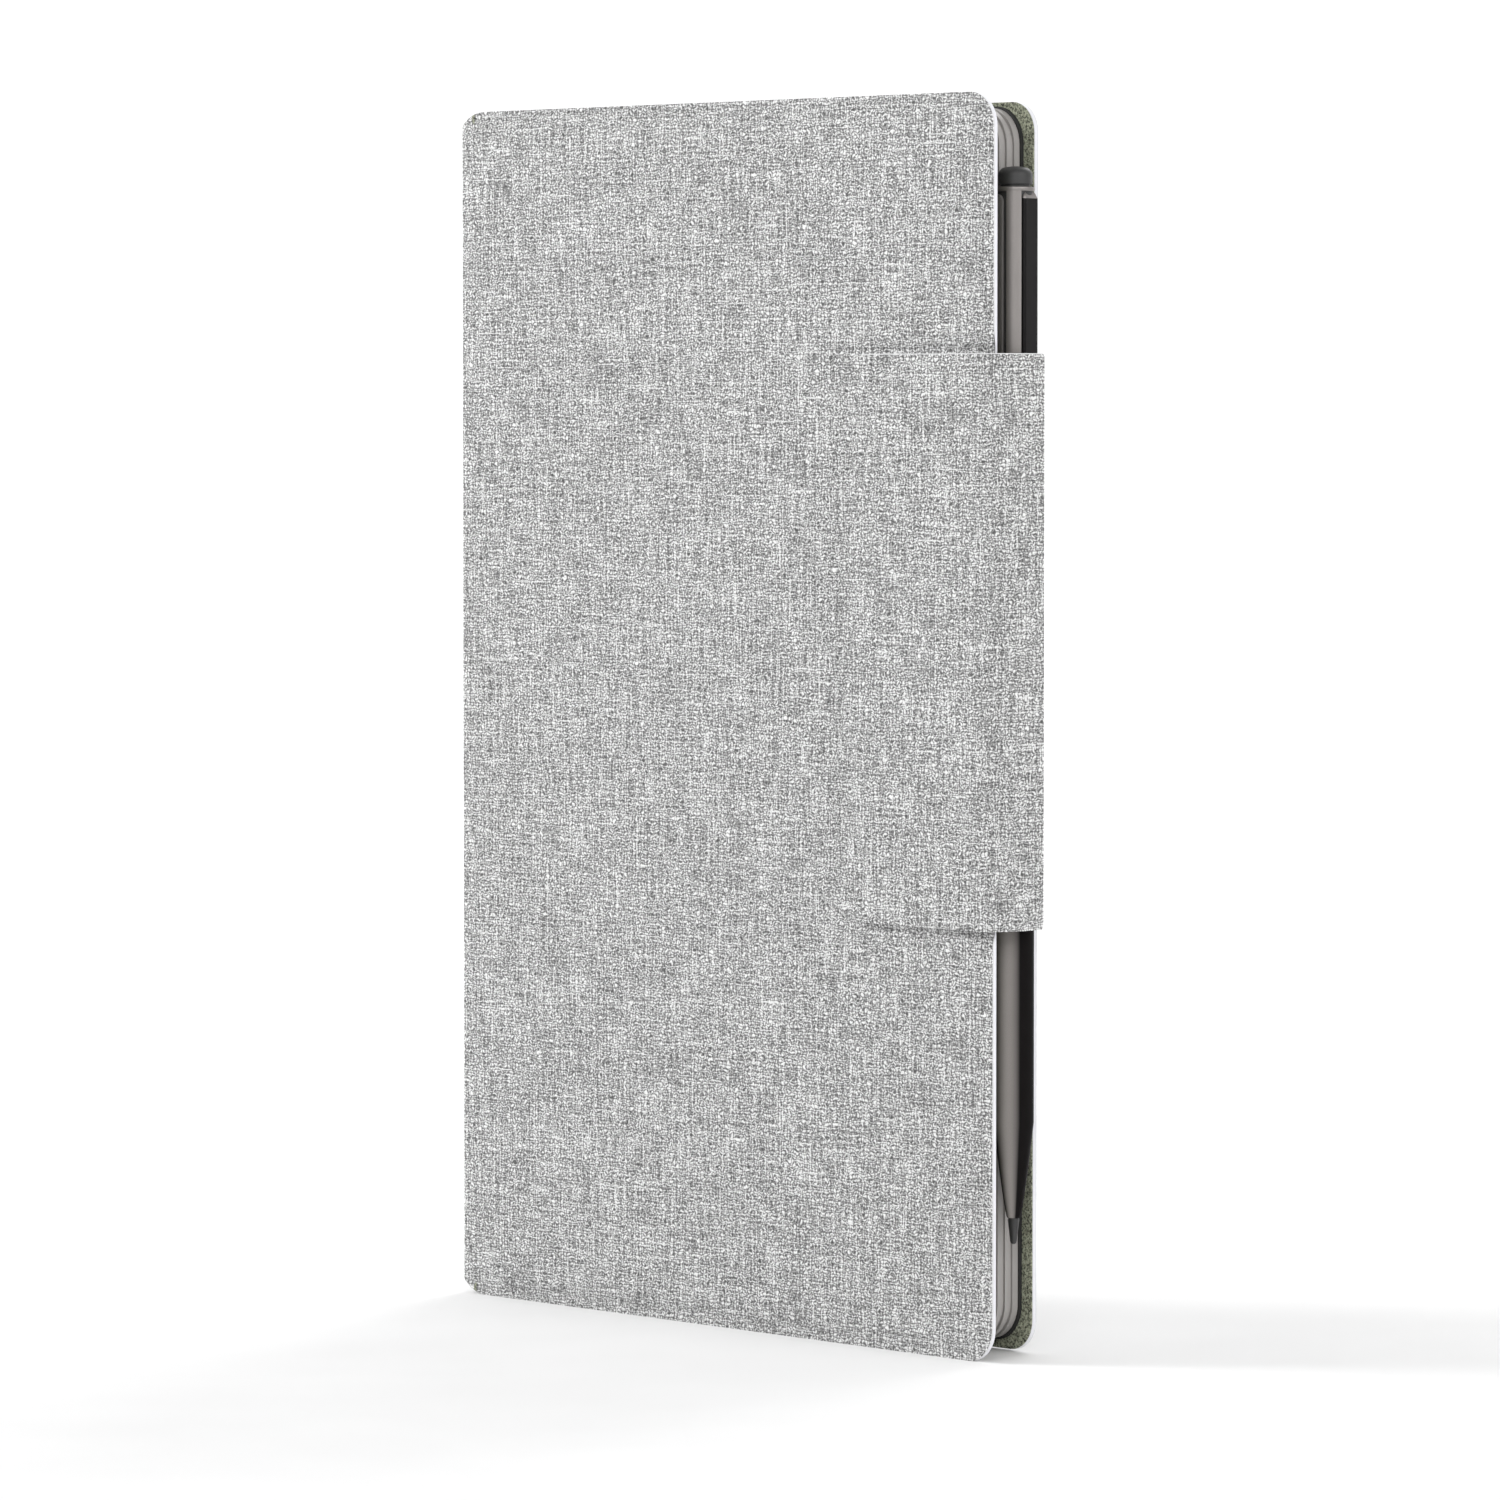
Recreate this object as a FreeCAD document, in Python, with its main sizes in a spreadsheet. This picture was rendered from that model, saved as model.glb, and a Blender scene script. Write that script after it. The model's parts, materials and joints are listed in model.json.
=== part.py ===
import FreeCAD, Part
import Sketcher
import os
import re
from FreeCAD import Placement, Rotation, Vector

# Tablet keyboard case, closed and standing on end.
#
# Case coordinates, in millimetres: X runs from the spine (negative) to the free edge (0),
# Y runs from the front cover's outer face (0) to the rear cover's outer face (caseDepth),
# Z runs up from the front cover's bottom edge. Every sub-part is drawn in case coordinates, and
# its Placement carries it to the object's frame, whose origin is under the middle of the case.

SIZES = {
    # where the case coordinates' zero lies in the object's frame
    "freeEdgeX": 64.9,
    "frontFaceY": -6.95,
    # the case as a whole
    "coverWidth": 131.0,
    "coverHeight": 201.0,
    "coverRadius": 5.5,
    "caseDepth": 14.8,
    "skin": 0.25,
    "lining": 0.3,
    "cutThrough": 5.0,
    # bar magnets, in pockets
    "magnetLength": 20.0,
    "magnetFromEnd": 20.0,
    "magnetPlay": 0.1,
    "coverMagnetLeft": -7.6,
    "coverMagnetRight": -3.2,
    "standMagnetLeft": 4.0,
    "standMagnetRight": 10.0,
    "standMagnetDepth": 0.8,
    # spine
    "spineThickness": 1.4,
    "spineLow": 5.0,
    "spineHigh": 196.0,
    "hingeFront": 0.8,
    "hingeRear": 14.1,
    # front cover
    "coverBack": 1.1,
    "coverLiningInset": 1.5,
    "coverStart": -129.3,
    # rear cover
    "rearFront": 13.6,
    "rearEdge": -5.25,
    "rearLow": 0.3,
    "rearHigh": 199.85,
    "rearRadius": 5.0,
    # tablet tray
    "trayLeft": -127.0,
    "trayRight": -7.75,
    "trayLow": 1.9,
    "trayHigh": 198.9,
    "trayFront": 6.4,
    "trayBack": 13.0,
    "trayWall": 1.3,
    "trayLip": 1.0,
    "trayFloor": 0.8,
    "trayRadius": 6.0,
    "ribPitch": 1.64,
    "ribDepth": 0.35,
    "gasketEdge": 0.3,
    # camera opening, through the tray's floor and the rear cover
    "cameraLeft": -34.0,
    "cameraRight": -20.0,
    "cameraLow": 168.0,
    "cameraHigh": 190.0,
    "bezelWall": 1.0,
    # kickstand
    "standHingeX": -67.0,
    "standHingeY": 14.0,
    "standLeft": -122.0,
    "standLow": 14.0,
    "standHigh": 160.0,
    "standGap": 0.4,
    "standHingeGap": 1.1,
    "standThickness": 0.9,
    "standWindowRight": -65.2,
    "pinRadius": 0.4,
    "knuckleRadius": 0.75,
    "knuckleClearance": 0.03,
    "knuckleInset": 3.0,
    "knuckleGap": 0.4,
    "leafThickness": 0.4,
    "leafGap": 0.1,
    "standSeatGap": 4.0,
    # closing flap
    "flapWidth": 31.0,
    "flapLow": 68.6,
    "flapHigh": 159.8,
    "flapSheet": 0.9,
    "flapRadius": 2.3,
    "flapPanelEdge": 0.1,
    "flapOuterSkin": 0.3,
    "flapInnerSkin": 0.25,
    "flapMagnetFromEnd": 12.0,
    "flapMagnetLength": 24.0,
    "flapMagnetWidth": 4.0,
    "flapMagnetDepth": 0.35,
    "flapMagnetInset": 5.5,
    "flapHingeX": 0.75,
    "flapHingeY": -0.35,
    "flapStripEnd": 10.3,
    # keyboard
    "boardLeft": -125.5,
    "boardRight": -9.0,
    "boardLow": 7.0,
    "boardHigh": 194.0,
    "basePlate": 0.4,
    "deckTop": 5.5,
    "deckSheet": 0.8,
    "deckWall": 1.2,
    "boardRadius": 4.0,
    "keyPitch": 14.1,
    "rowPitch": 15.2,
    "functionPitch": 9.5,
    "keyGap": 1.7,
    "keyClearance": 0.35,
    "keyTop": 6.0,
    "keyUnder": 4.6,
    "keyRadius": 1.2,
    "keyEdge": 0.35,
    "fieldMargin": 1.85,
    "chargePortX": -108.0,
    "portHalfWidth": 3.75,
    "portLength": 5.6,
    "portFront": 1.7,
    "portBack": 4.25,
    "portWall": 0.35,
    "portPlay": 0.1,
    "circuitSheet": 0.25,
    "domeHeight": 1.4,
    "domeRadius": 2.2,
    "domeTopRadius": 1.2,
    "scissorWidth": 6.8,
    "scissorLength": 9.0,
    "scissorBar": 0.8,
    "scissorHeight": 0.5,
    "batteryThickness": 2.8,
    "circuitBoard": 0.8,
    "controlRise": 0.4,
    "bumperRise": 0.5,
    # stylus
    "penX": -4.25,
    "penY": 8.7,
    "penRadius": 3.2,
    "penTip": 18.1,
    "penConeLow": 22.3,
    "penConeHigh": 37.4,
    "penShoulder": 186.2,
    "penTop": 189.4,
    "penCapRadius": 2.75,
    "penNibRadius": 1.0,
    "penPointRadius": 0.35,
    "penWall": 0.6,
    "penCoilLength": 32.0,
    "penCoilGap": 0.5,
    "penCapEdge": 1.6,
    "penNeck": 5.0,
    "railLength": 38.0,
    "railBelowShoulder": 0.8,
    "railRise": 0.25,
    "railWidth": 3.4,
    "penBoardLow": 75.0,
    "penBoardHigh": 176.0,
    "penBoardWidth": 3.2,
    "penBoardThickness": 0.8,
}

doc = FreeCAD.newDocument("tablet_keyboard_case")
sheet = doc.addObject("Spreadsheet::Sheet", "sizes")
for sheet_row, (alias, number) in enumerate(SIZES.items(), start=1):
    sheet.set(f"A{sheet_row}", alias)
    sheet.set(f"B{sheet_row}", str(number))
    sheet.setAlias(f"B{sheet_row}", alias)
doc.recompute()

PARTS = []


def size(alias):
    """A driving dimension, read from the sheet."""
    return float(sheet.get(alias))


def bind(thing, prop, formula):
    """Bind a property to a formula written with the sheet's aliases."""
    thing.setExpression(prop, re.sub(r"\b([a-z]+[A-Za-z]*)\b", r"sizes.\1", str(formula)))


def finish_part(thing, label):
    """Give a finished sub-part its name and carry it to the object's frame."""
    thing.Label = label
    bind(thing, "Placement.Base.x", "freeEdgeX")
    bind(thing, "Placement.Base.y", "frontFaceY")
    PARTS.append(thing)
    return thing


def shape_part(label, shape):
    """A sub-part whose shape is made with Part's own functions, in case coordinates."""
    feature = doc.addObject("Part::Feature", label + "_shape")
    feature.Shape = shape
    feature.Label = label
    feature.Placement = Placement(Vector(size("freeEdgeX"), size("frontFaceY"), 0), Rotation())
    PARTS.append(feature)
    return feature


# ---------------------------------------------------------------- flat sheets

def origin_plane(body, role):
    return next(plane for plane in body.Origin.OriginFeatures if plane.Role == role)


def rectangle(sketch, left, right, low, high):
    """Add a rectangle, held by four dimensions from the sketch's origin."""
    first = sketch.GeometryCount
    corners = [Vector(0, 0, 0), Vector(10, 0, 0), Vector(10, 10, 0), Vector(0, 10, 0)]
    for start, end in zip(corners, corners[1:] + corners[:1]):
        sketch.addGeometry(Part.LineSegment(start, end), False)
    bottom, side, top, other_side = range(first, first + 4)
    for near, far in ((bottom, side), (side, top), (top, other_side), (other_side, bottom)):
        sketch.addConstraint(Sketcher.Constraint("Coincident", near, 2, far, 1))
    for line in (bottom, top):
        sketch.addConstraint(Sketcher.Constraint("Horizontal", line))
    for line in (side, other_side):
        sketch.addConstraint(Sketcher.Constraint("Vertical", line))
    for kind, line, formula in (
        ("DistanceX", bottom, left),
        ("DistanceX", side, right),
        ("DistanceY", bottom, low),
        ("DistanceY", top, high),
    ):
        number = sketch.addConstraint(Sketcher.Constraint(kind, -1, 1, line, 1, 5.0))
        bind(sketch, f"Constraints[{number}]", formula)


def upright_sketch(body, name, depth, windows):
    """A sketch of rectangles on the plane at the given depth behind the front face."""
    sketch = body.newObject("Sketcher::SketchObject", name)
    sketch.AttachmentSupport = [(origin_plane(body, "XZ_Plane"), "")]
    sketch.MapMode = "FlatFace"
    bind(sketch, "AttachmentOffset.Base.z", f"-({depth})")
    for window in windows:
        rectangle(sketch, *window)
    return sketch


def round_corners(body, base, sketch, radius):
    """Round the depth-wise edges that pass through the corners of a sketch."""
    doc.recompute()
    corners = [vertex.Point for vertex in sketch.Shape.Vertexes]
    names = []
    for number, edge in enumerate(base.Shape.Edges, start=1):
        ends = [vertex.Point for vertex in edge.Vertexes]
        if len(ends) != 2 or abs(ends[0].x - ends[1].x) + abs(ends[0].z - ends[1].z) > 1e-6:
            continue
        if any(abs(ends[0].x - c.x) + abs(ends[0].z - c.z) < 1e-6 for c in corners):
            names.append(f"Edge{number}")
    fillet = body.newObject("PartDesign::Fillet", sketch.Name + "_corners")
    fillet.Base = (base, names)
    bind(fillet, "Radius", radius)
    return fillet


def pad_sheet(name, outline, front, back, radius):
    """A flat sheet between two depths. Outline is left, right, low, high."""
    body = doc.addObject("PartDesign::Body", name + "_body")
    sketch = upright_sketch(body, name + "_outline", front, [outline])
    pad = body.newObject("PartDesign::Pad", name + "_pad")
    pad.Profile = sketch
    pad.Reversed = True
    bind(pad, "Length", f"({back}) - ({front})")
    round_corners(body, pad, sketch, radius)
    doc.recompute()
    return body


def cut_window(body, name, window, front, depth, radius):
    """Cut one rectangular window, from a depth towards the rear."""
    before = body.Tip.Shape.Volume
    sketch = upright_sketch(body, name, front, [window])
    pocket = body.newObject("PartDesign::Pocket", name + "_cut")
    pocket.Profile = sketch
    bind(pocket, "Length", depth)
    doc.recompute()
    if pocket.Shape.Volume > before - 1e-3:
        raise RuntimeError(name + " cuts nothing")
    if radius:
        round_corners(body, pocket, sketch, radius)
        doc.recompute()


COVER = ("coverStart", "0", "0", "coverHeight")
REAR = ("coverStart", "rearEdge", "rearLow", "rearHigh")
CAMERA = ("cameraLeft", "cameraRight", "cameraLow", "cameraHigh")
CAMERA_RADIUS = "coverRadius / 2"
STAND_WINDOW = (
    "standLeft - standGap",
    "standWindowRight",
    "standLow - standGap",
    "standHigh + standGap",
)


# ---------------------------------------------------------------- front cover

COVER_MAGNETS = (
    "magnetFromEnd",
    "(coverHeight - magnetLength) / 2",
    "coverHeight - magnetFromEnd - magnetLength",
)


def magnet(left, right, front, back, low):
    """A bar magnet that sits in a pocket between the same bounds with a little play."""
    play = size("magnetPlay")
    length = size("magnetLength") - 2 * play
    corner = Vector(left + play, front, low + play)
    return Part.makeBox(right - left - 2 * play, back - front, length, corner)


def front_cover():
    """Fabric skin, white board with magnet pockets, and lining."""
    skin = pad_sheet("front_cover_fabric", COVER, "0", "skin", "coverRadius")
    finish_part(skin, "front_cover_fabric")
    board = pad_sheet("front_cover_board", COVER, "skin", "coverBack - lining", "coverRadius")
    for number, low in enumerate(COVER_MAGNETS):
        window = ("coverMagnetLeft", "coverMagnetRight", low, f"{low} + magnetLength")
        cut_window(board, f"magnet_pocket_{number}", window, "skin", "cutThrough", None)
    finish_part(board, "front_cover_board")
    inset = (
        "coverStart + coverLiningInset",
        "-coverLiningInset",
        "coverLiningInset",
        "coverHeight - coverLiningInset",
    )
    radius = "coverRadius - coverLiningInset"
    lining = pad_sheet("front_cover_lining", inset, "coverBack - lining", "coverBack", radius)
    finish_part(lining, "front_cover_lining")


def front_cover_magnets():
    """Three flat bar magnets that fill the board's pockets near the free edge."""
    left, right = size("coverMagnetLeft"), size("coverMagnetRight")
    front, back = size("skin"), size("coverBack") - size("lining")
    from_end, spare = size("magnetFromEnd"), size("coverHeight") - size("magnetLength")
    lows = (from_end, spare / 2, spare - from_end)
    bars = [magnet(left, right, front, back, low) for low in lows]
    shape_part("front_cover_magnets", Part.makeCompound(bars))


# ---------------------------------------------------------------- spine

def spine():
    """Stiff strip between the two fold lines, with fabric outside and lining inside."""
    outer = "-coverWidth"
    layers = (
        ("spine_fabric", outer, f"{outer} + skin"),
        ("spine_board", f"{outer} + skin", f"{outer} + spineThickness - lining"),
        ("spine_lining", f"{outer} + spineThickness - lining", f"{outer} + spineThickness"),
    )
    for label, left, right in layers:
        box = doc.addObject("Part::Box", label + "_strip")
        bind(box, "Length", f"({right}) - ({left})")
        bind(box, "Width", "hingeRear - hingeFront")
        bind(box, "Height", "spineHigh - spineLow")
        box.Label = label
        bind(box, "Placement.Base.x", f"freeEdgeX + {left}")
        bind(box, "Placement.Base.y", "frontFaceY + hingeFront")
        bind(box, "Placement.Base.z", "spineLow")
        PARTS.append(box)


# ---------------------------------------------------------------- rear cover

def rear_cover():
    """Lining, white board and fabric skin, each with the camera opening and the stand's window."""
    layers = (
        ("rear_cover_lining", "rearFront", "rearFront + lining"),
        ("rear_cover_board", "rearFront + lining", "caseDepth - skin"),
        ("rear_cover_fabric", "caseDepth - skin", "caseDepth"),
    )
    for label, front, back in layers:
        body = pad_sheet(label, REAR, front, back, "rearRadius")
        cut_window(body, label + "_camera", CAMERA, front, "cutThrough", CAMERA_RADIUS)
        cut_window(body, label + "_stand", STAND_WINDOW, front, "cutThrough", "coverRadius / 2")
        finish_part(body, label)


def camera_bezel():
    """Rubber ring that lines the camera opening from the tray's floor to the rear face."""
    bezel = pad_sheet("camera_bezel", CAMERA, "rearFront", "caseDepth", CAMERA_RADIUS)
    inner = (
        "cameraLeft + bezelWall",
        "cameraRight - bezelWall",
        "cameraLow + bezelWall",
        "cameraHigh - bezelWall",
    )
    cut_window(bezel, "camera_bezel_hole", inner, "rearFront", "cutThrough", "bezelWall")
    finish_part(bezel, "camera_bezel")


# ---------------------------------------------------------------- tablet tray

def inset_tray(inset):
    """The tray's outline, moved inward by a formula."""
    return (
        f"trayLeft + ({inset})",
        f"trayRight - ({inset})",
        f"trayLow + ({inset})",
        f"trayHigh - ({inset})",
    )


def tablet_tray():
    """Soft tray: floor at the rear, ribbed walls, and a lip that holds the tablet in."""
    tray = pad_sheet("tray_blank", inset_tray("0"), "trayFront", "trayBack", "trayRadius")
    mouth = inset_tray("trayWall + trayLip")
    pocket = inset_tray("trayWall")
    depth = "trayBack - trayFront - trayFloor"
    cut_window(tray, "tray_mouth", mouth, "trayFront", depth, "trayRadius - trayWall - trayLip")
    cut_window(tray, "tray_camera", CAMERA, "trayFront", "caseDepth", CAMERA_RADIUS)

    # undercut behind the lip: a rounded block the size of the pocket, taken away
    hollow = pad_sheet(
        "tray_hollow",
        pocket,
        "trayFront + trayLip",
        "trayBack - trayFloor",
        "trayRadius - trayWall",
    )
    # three grooves round the outside leave the ribs
    grooves = []
    for number in range(3):
        start = f"trayFront + ribPitch * ({number} + 0.85)"
        stop = f"{start} + ribPitch * 0.45"
        around = pad_sheet(f"rib_ring_{number}", inset_tray("-2"), start, stop, "trayRadius + 2")
        core = pad_sheet(f"rib_core_{number}", inset_tray("ribDepth"), start, stop, "trayRadius")
        ring = doc.addObject("Part::Cut", f"rib_groove_{number}")
        ring.Base = around
        ring.Tool = core
        grooves.append(ring)
    removed = doc.addObject("Part::MultiFuse", "tray_removed")
    removed.Shapes = [hollow] + grooves
    cut = doc.addObject("Part::Cut", "tablet_tray_cut")
    cut.Base = tray
    cut.Tool = removed
    finish_part(cut, "tablet_tray")


def tray_gasket():
    """Black adhesive pad between the tray's floor and the rear cover, open at the stand."""
    gasket = pad_sheet("tray_gasket", inset_tray("-gasketEdge"), "trayBack", "rearFront", "trayRadius")
    cut_window(gasket, "gasket_camera", CAMERA, "trayBack", "cutThrough", CAMERA_RADIUS)
    cut_window(gasket, "gasket_stand", STAND_WINDOW, "trayBack", "cutThrough", "coverRadius / 2")
    finish_part(gasket, "tray_gasket")


# ---------------------------------------------------------------- kickstand

def kickstand():
    """Plate and fabric that fill the rear cover's window, hinged along the middle of the cover."""
    outline = ("standLeft", "standHingeX - standHingeGap", "standLow", "standHigh")
    back = "caseDepth - skin"
    plate = pad_sheet("kickstand_plate", outline, f"{back} - standThickness", back, "coverRadius / 2")
    lows = ("standLow + magnetFromEnd", "standHigh - magnetFromEnd - magnetLength")
    sides = ("standLeft + standMagnetLeft", "standLeft + standMagnetRight")
    for number, low in enumerate(lows):
        window = (*sides, low, f"{low} + magnetLength")
        front = f"{back} - standThickness"
        cut_window(plate, f"stand_pocket_{number}", window, front, "cutThrough", None)
    finish_part(plate, "kickstand_plate")
    skin = pad_sheet("kickstand_fabric", outline, back, "caseDepth", "coverRadius / 2")
    finish_part(skin, "kickstand_fabric")
    left = size("standLeft") + size("standMagnetLeft")
    right = size("standLeft") + size("standMagnetRight")
    rear = size("caseDepth") - size("skin")
    front = rear - size("standMagnetDepth")
    from_end = size("magnetFromEnd")
    starts = (size("standLow") + from_end, size("standHigh") - from_end - size("magnetLength"))
    magnets = [magnet(left, right, front, rear, start) for start in starts]
    shape_part("kickstand_magnets", Part.makeCompound(magnets))


def stand_seat():
    """Lining panel on the tray's floor that the closed kickstand lies over."""
    outline = ("standLeft", "standHingeX - standSeatGap", "standLow", "standHigh")
    seat = pad_sheet("kickstand_seat", outline, "trayBack", "trayBack + lining", "coverRadius / 2")
    finish_part(seat, "kickstand_seat")


def tube(low, high, outer, inner):
    """An upright tube about the kickstand's hinge line."""
    centre = Vector(size("standHingeX"), size("standHingeY"), low)
    return Part.makeCylinder(outer, high - low, centre).cut(
        Part.makeCylinder(inner, high - low, centre)
    )


KNUCKLE_COUNT = 7


def kickstand_hinge():
    """Steel pin, with rolled knuckles that belong to the cover and to the stand by turns."""
    low = size("standLow") + size("knuckleInset")
    high = size("standHigh") - size("knuckleInset")
    radius, pin, gap = size("knuckleRadius"), size("pinRadius"), size("knuckleGap")
    hinge_x, hinge_y = size("standHingeX"), size("standHingeY")
    shape_part("kickstand_pin", Part.makeCylinder(pin, high - low, Vector(hinge_x, hinge_y, low)))
    length = (high - low) / KNUCKLE_COUNT
    thickness = size("leafThickness")
    fixed, moving = [], []
    for number in range(KNUCKLE_COUNT):
        start = low + number * length + gap / 2
        on_cover = number % 2 == 0
        if on_cover:
            # the leaf runs towards the free edge, to the cover's board
            bore = pin
            leaf_start = hinge_x + pin + size("leafGap")
            leaf_end = size("standWindowRight")
        else:
            # the leaf runs towards the spine, to the stand's plate
            bore = pin + size("knuckleClearance")
            leaf_start = hinge_x - size("standHingeGap")
            leaf_end = hinge_x - pin - size("leafGap")
        barrel = tube(start, start + length - gap, radius, bore)
        corner = Vector(leaf_start, hinge_y - thickness / 2, start)
        leaf = Part.makeBox(leaf_end - leaf_start, thickness, length - gap, corner)
        knuckle = barrel.fuse(leaf).removeSplitter()
        (fixed if on_cover else moving).append(knuckle)
    shape_part("cover_knuckles", Part.makeCompound(fixed))
    shape_part("kickstand_knuckles", Part.makeCompound(moving))


# ---------------------------------------------------------------- closing flap

def flap_panel():
    """The part of the flap that is bonded to the front cover: a stiffener under a fabric skin."""
    front = "-flapSheet"
    outline = ("-flapWidth", "flapPanelEdge", "flapLow", "flapHigh")
    skin = pad_sheet("flap_panel_fabric", outline, front, f"{front} + skin", "flapRadius")
    finish_part(skin, "flap_panel_fabric")
    stiffener = pad_sheet("flap_panel_board", outline, f"{front} + skin", "0", "flapRadius")
    finish_part(stiffener, "flap_panel_board")


def flap_strip():
    """The part of the flap that closes round the free edge, in three layers and magnets."""
    half = size("flapSheet") / 2
    middle, front, end = size("flapHingeX"), size("flapHingeY"), size("flapStripEnd")
    low, tall = size("flapLow"), size("flapHigh") - size("flapLow")
    outer = middle + half - size("flapOuterSkin")
    inner = middle - half + size("flapInnerSkin")
    layers = (
        ("flap_strip_fabric", outer, middle + half),
        ("flap_strip_board", inner, outer),
        ("flap_strip_lining", middle - half, inner),
    )
    width, depth = size("flapMagnetWidth"), size("flapMagnetDepth")
    length, from_end = size("flapMagnetLength"), size("flapMagnetFromEnd")
    bars = []
    for start in (low + from_end, low + tall - from_end - length):
        corner = Vector(inner, end - size("flapMagnetInset"), start)
        bars.append(Part.makeBox(depth, width, length, corner))
    magnets = Part.makeCompound(bars)
    for label, left, right in layers:
        strip = Part.makeBox(right - left, end - front, tall, Vector(left, front, low))
        if label == "flap_strip_board":
            strip = strip.cut(magnets)
        shape_part(label, strip)
    shape_part("flap_magnets", magnets)


# ---------------------------------------------------------------- keyboard

BOARD = ("boardLeft", "boardRight", "boardLow", "boardHigh")

# one row per line, from the free edge towards the spine: name, and key widths in units of a key
ROWS = (
    ("key_row_bottom", (1.25, 1.25, 1.25, 4.25, 1, 1, 1, 1, 1)),
    ("key_row_shift", (2.25, 1, 1, 1, 1, 1, 1, 1, 1, 1.75, 1)),
    ("key_row_home", (1.75, 1, 1, 1, 1, 1, 1, 1, 1, 1, 2.25)),
    ("key_row_upper", (1.5, 1, 1, 1, 1, 1, 1, 1, 1, 1, 1, 1.5)),
    ("key_row_number", (1,) * 13),
    ("key_row_function", (1,) * 13),
)
SPACE_WIDTH = 4.25


def key_slots():
    """Every key as row name, width in units, and its left, right, low and high bounds."""
    gap, pitch = size("keyGap") / 2, size("keyPitch")
    right = size("boardRight") - size("fieldMargin")
    slots = []
    for name, widths in ROWS:
        depth = size("functionPitch") if name == "key_row_function" else size("rowPitch")
        top = size("boardHigh") - size("fieldMargin")
        for width in widths:
            bottom = top - width * pitch
            bounds = (right - depth + gap, right - gap, bottom + gap, top - gap)
            slots.append((name, width, bounds))
            top = bottom
        right -= depth
    return slots


def block(bounds, front, back, grow=0.0):
    """A box between two depths, over bounds grown by a margin."""
    left, right, low, high = bounds
    corner = Vector(left - grow, front, low - grow)
    return Part.makeBox(right - left + 2 * grow, back - front, high - low + 2 * grow, corner)


def rounded_block(bounds, front, back, radius, grow=0.0):
    """The same box with its depth-wise edges rounded."""
    box = block(bounds, front, back, grow)
    edges = [e for e in box.Edges if abs(e.tangentAt(e.FirstParameter).y) > 0.5]
    return box.makeFillet(radius, edges)


def keycap(bounds):
    """A cap with rounded corners and a softened top edge."""
    cap = rounded_block(bounds, size("keyUnder"), size("keyTop"), size("keyRadius"))
    top = [e for e in cap.Edges if all(abs(v.Point.y - size("keyTop")) < 1e-6 for v in e.Vertexes)]
    return cap.makeFillet(size("keyEdge"), top)


# things in the deck and under it, as left, right, low and high, or as a spot in X and Z
SWITCH_SLOT = (-118.0, -114.0, 150.0, 160.0)
SWITCH_KNOB = (-117.7, -114.3, 150.3, 156.0)
SWITCH_FLANGE = (-119.2, -112.8, 147.0, 159.0)
BUTTON_SPOT = (-116.0, 168.0)
BUTTON_RADIUS = 2.0
BUTTON_HOLE = 2.3
BUTTON_FOOT = 2.9
LIGHT_SPOTS = ((-116.0, 176.0), (-116.0, 180.0), (-116.0, 184.0))
LIGHT_RADIUS = 0.6
BATTERY = (-121.5, -99.5, 62.0, 142.0)
CONTROLLER = (-121.5, -100.0, 13.0, 56.0)
CHIPS = (
    ((-116.0, -110.0, 24.0, 30.0), 0.9),
    ((-108.0, -104.0, 36.0, 42.0), 0.7),
    ((-117.0, -113.0, 42.0, 45.0), 0.6),
)


def deck_cylinder(place_x, place_z, radius, front, back):
    return Part.makeCylinder(radius, back - front, Vector(place_x, front, place_z), Vector(0, 1, 0))


def port_bounds(grow):
    """The charge port's bounds: it looks out of the keyboard's bottom end."""
    middle, low = size("chargePortX"), size("boardLow")
    half = size("portHalfWidth") + grow
    return (middle - half, middle + half, low - grow, low + size("portLength") + grow)


def keyboard_deck():
    """Shallow tub, open to the front cover, with a window for each key and control."""
    floor = "coverBack + basePlate"
    blank = pad_sheet("deck_blank", BOARD, floor, "deckTop", "boardRadius")
    inner = (
        "boardLeft + deckWall",
        "boardRight - deckWall",
        "boardLow + deckWall",
        "boardHigh - deckWall",
    )
    depth = f"deckTop - deckSheet - ({floor})"
    cut_window(blank, "deck_hollow", inner, floor, depth, "boardRadius - deckWall")
    start = size("deckTop") - size("cutThrough") / 2
    stop = size("deckTop") + size("cutThrough")
    clearance = size("keyClearance")
    holes = []
    for _, _, bounds in key_slots():
        holes.append(rounded_block(bounds, start, stop, size("keyRadius"), clearance))
    holes.append(block(SWITCH_SLOT, start, stop))
    holes.append(deck_cylinder(*BUTTON_SPOT, BUTTON_HOLE, start, stop))
    for spot in LIGHT_SPOTS:
        holes.append(deck_cylinder(*spot, LIGHT_RADIUS, start, stop))
    play = size("portPlay")
    holes.append(block(port_bounds(play), size("portFront") - play, size("portBack") + play / 2))
    windows = doc.addObject("Part::Feature", "deck_windows")
    windows.Shape = Part.makeCompound(holes)
    deck = doc.addObject("Part::Cut", "keyboard_deck_cut")
    deck.Base = blank
    deck.Tool = windows
    finish_part(deck, "keyboard_deck")


def keyboard_base():
    """Thin metal plate that closes the deck against the front cover."""
    plate = pad_sheet("keyboard_base", BOARD, "coverBack", "coverBack + basePlate", "boardRadius")
    finish_part(plate, "keyboard_base")


def keycaps():
    """One node per row of keys, and the space bar in one of its own."""
    rows = {}
    for name, width, bounds in key_slots():
        label = "space_bar" if width == SPACE_WIDTH else name
        rows.setdefault(label, []).append(keycap(bounds))
    for label, caps in rows.items():
        shape_part(label, caps[0] if len(caps) == 1 else Part.makeCompound(caps))


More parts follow.
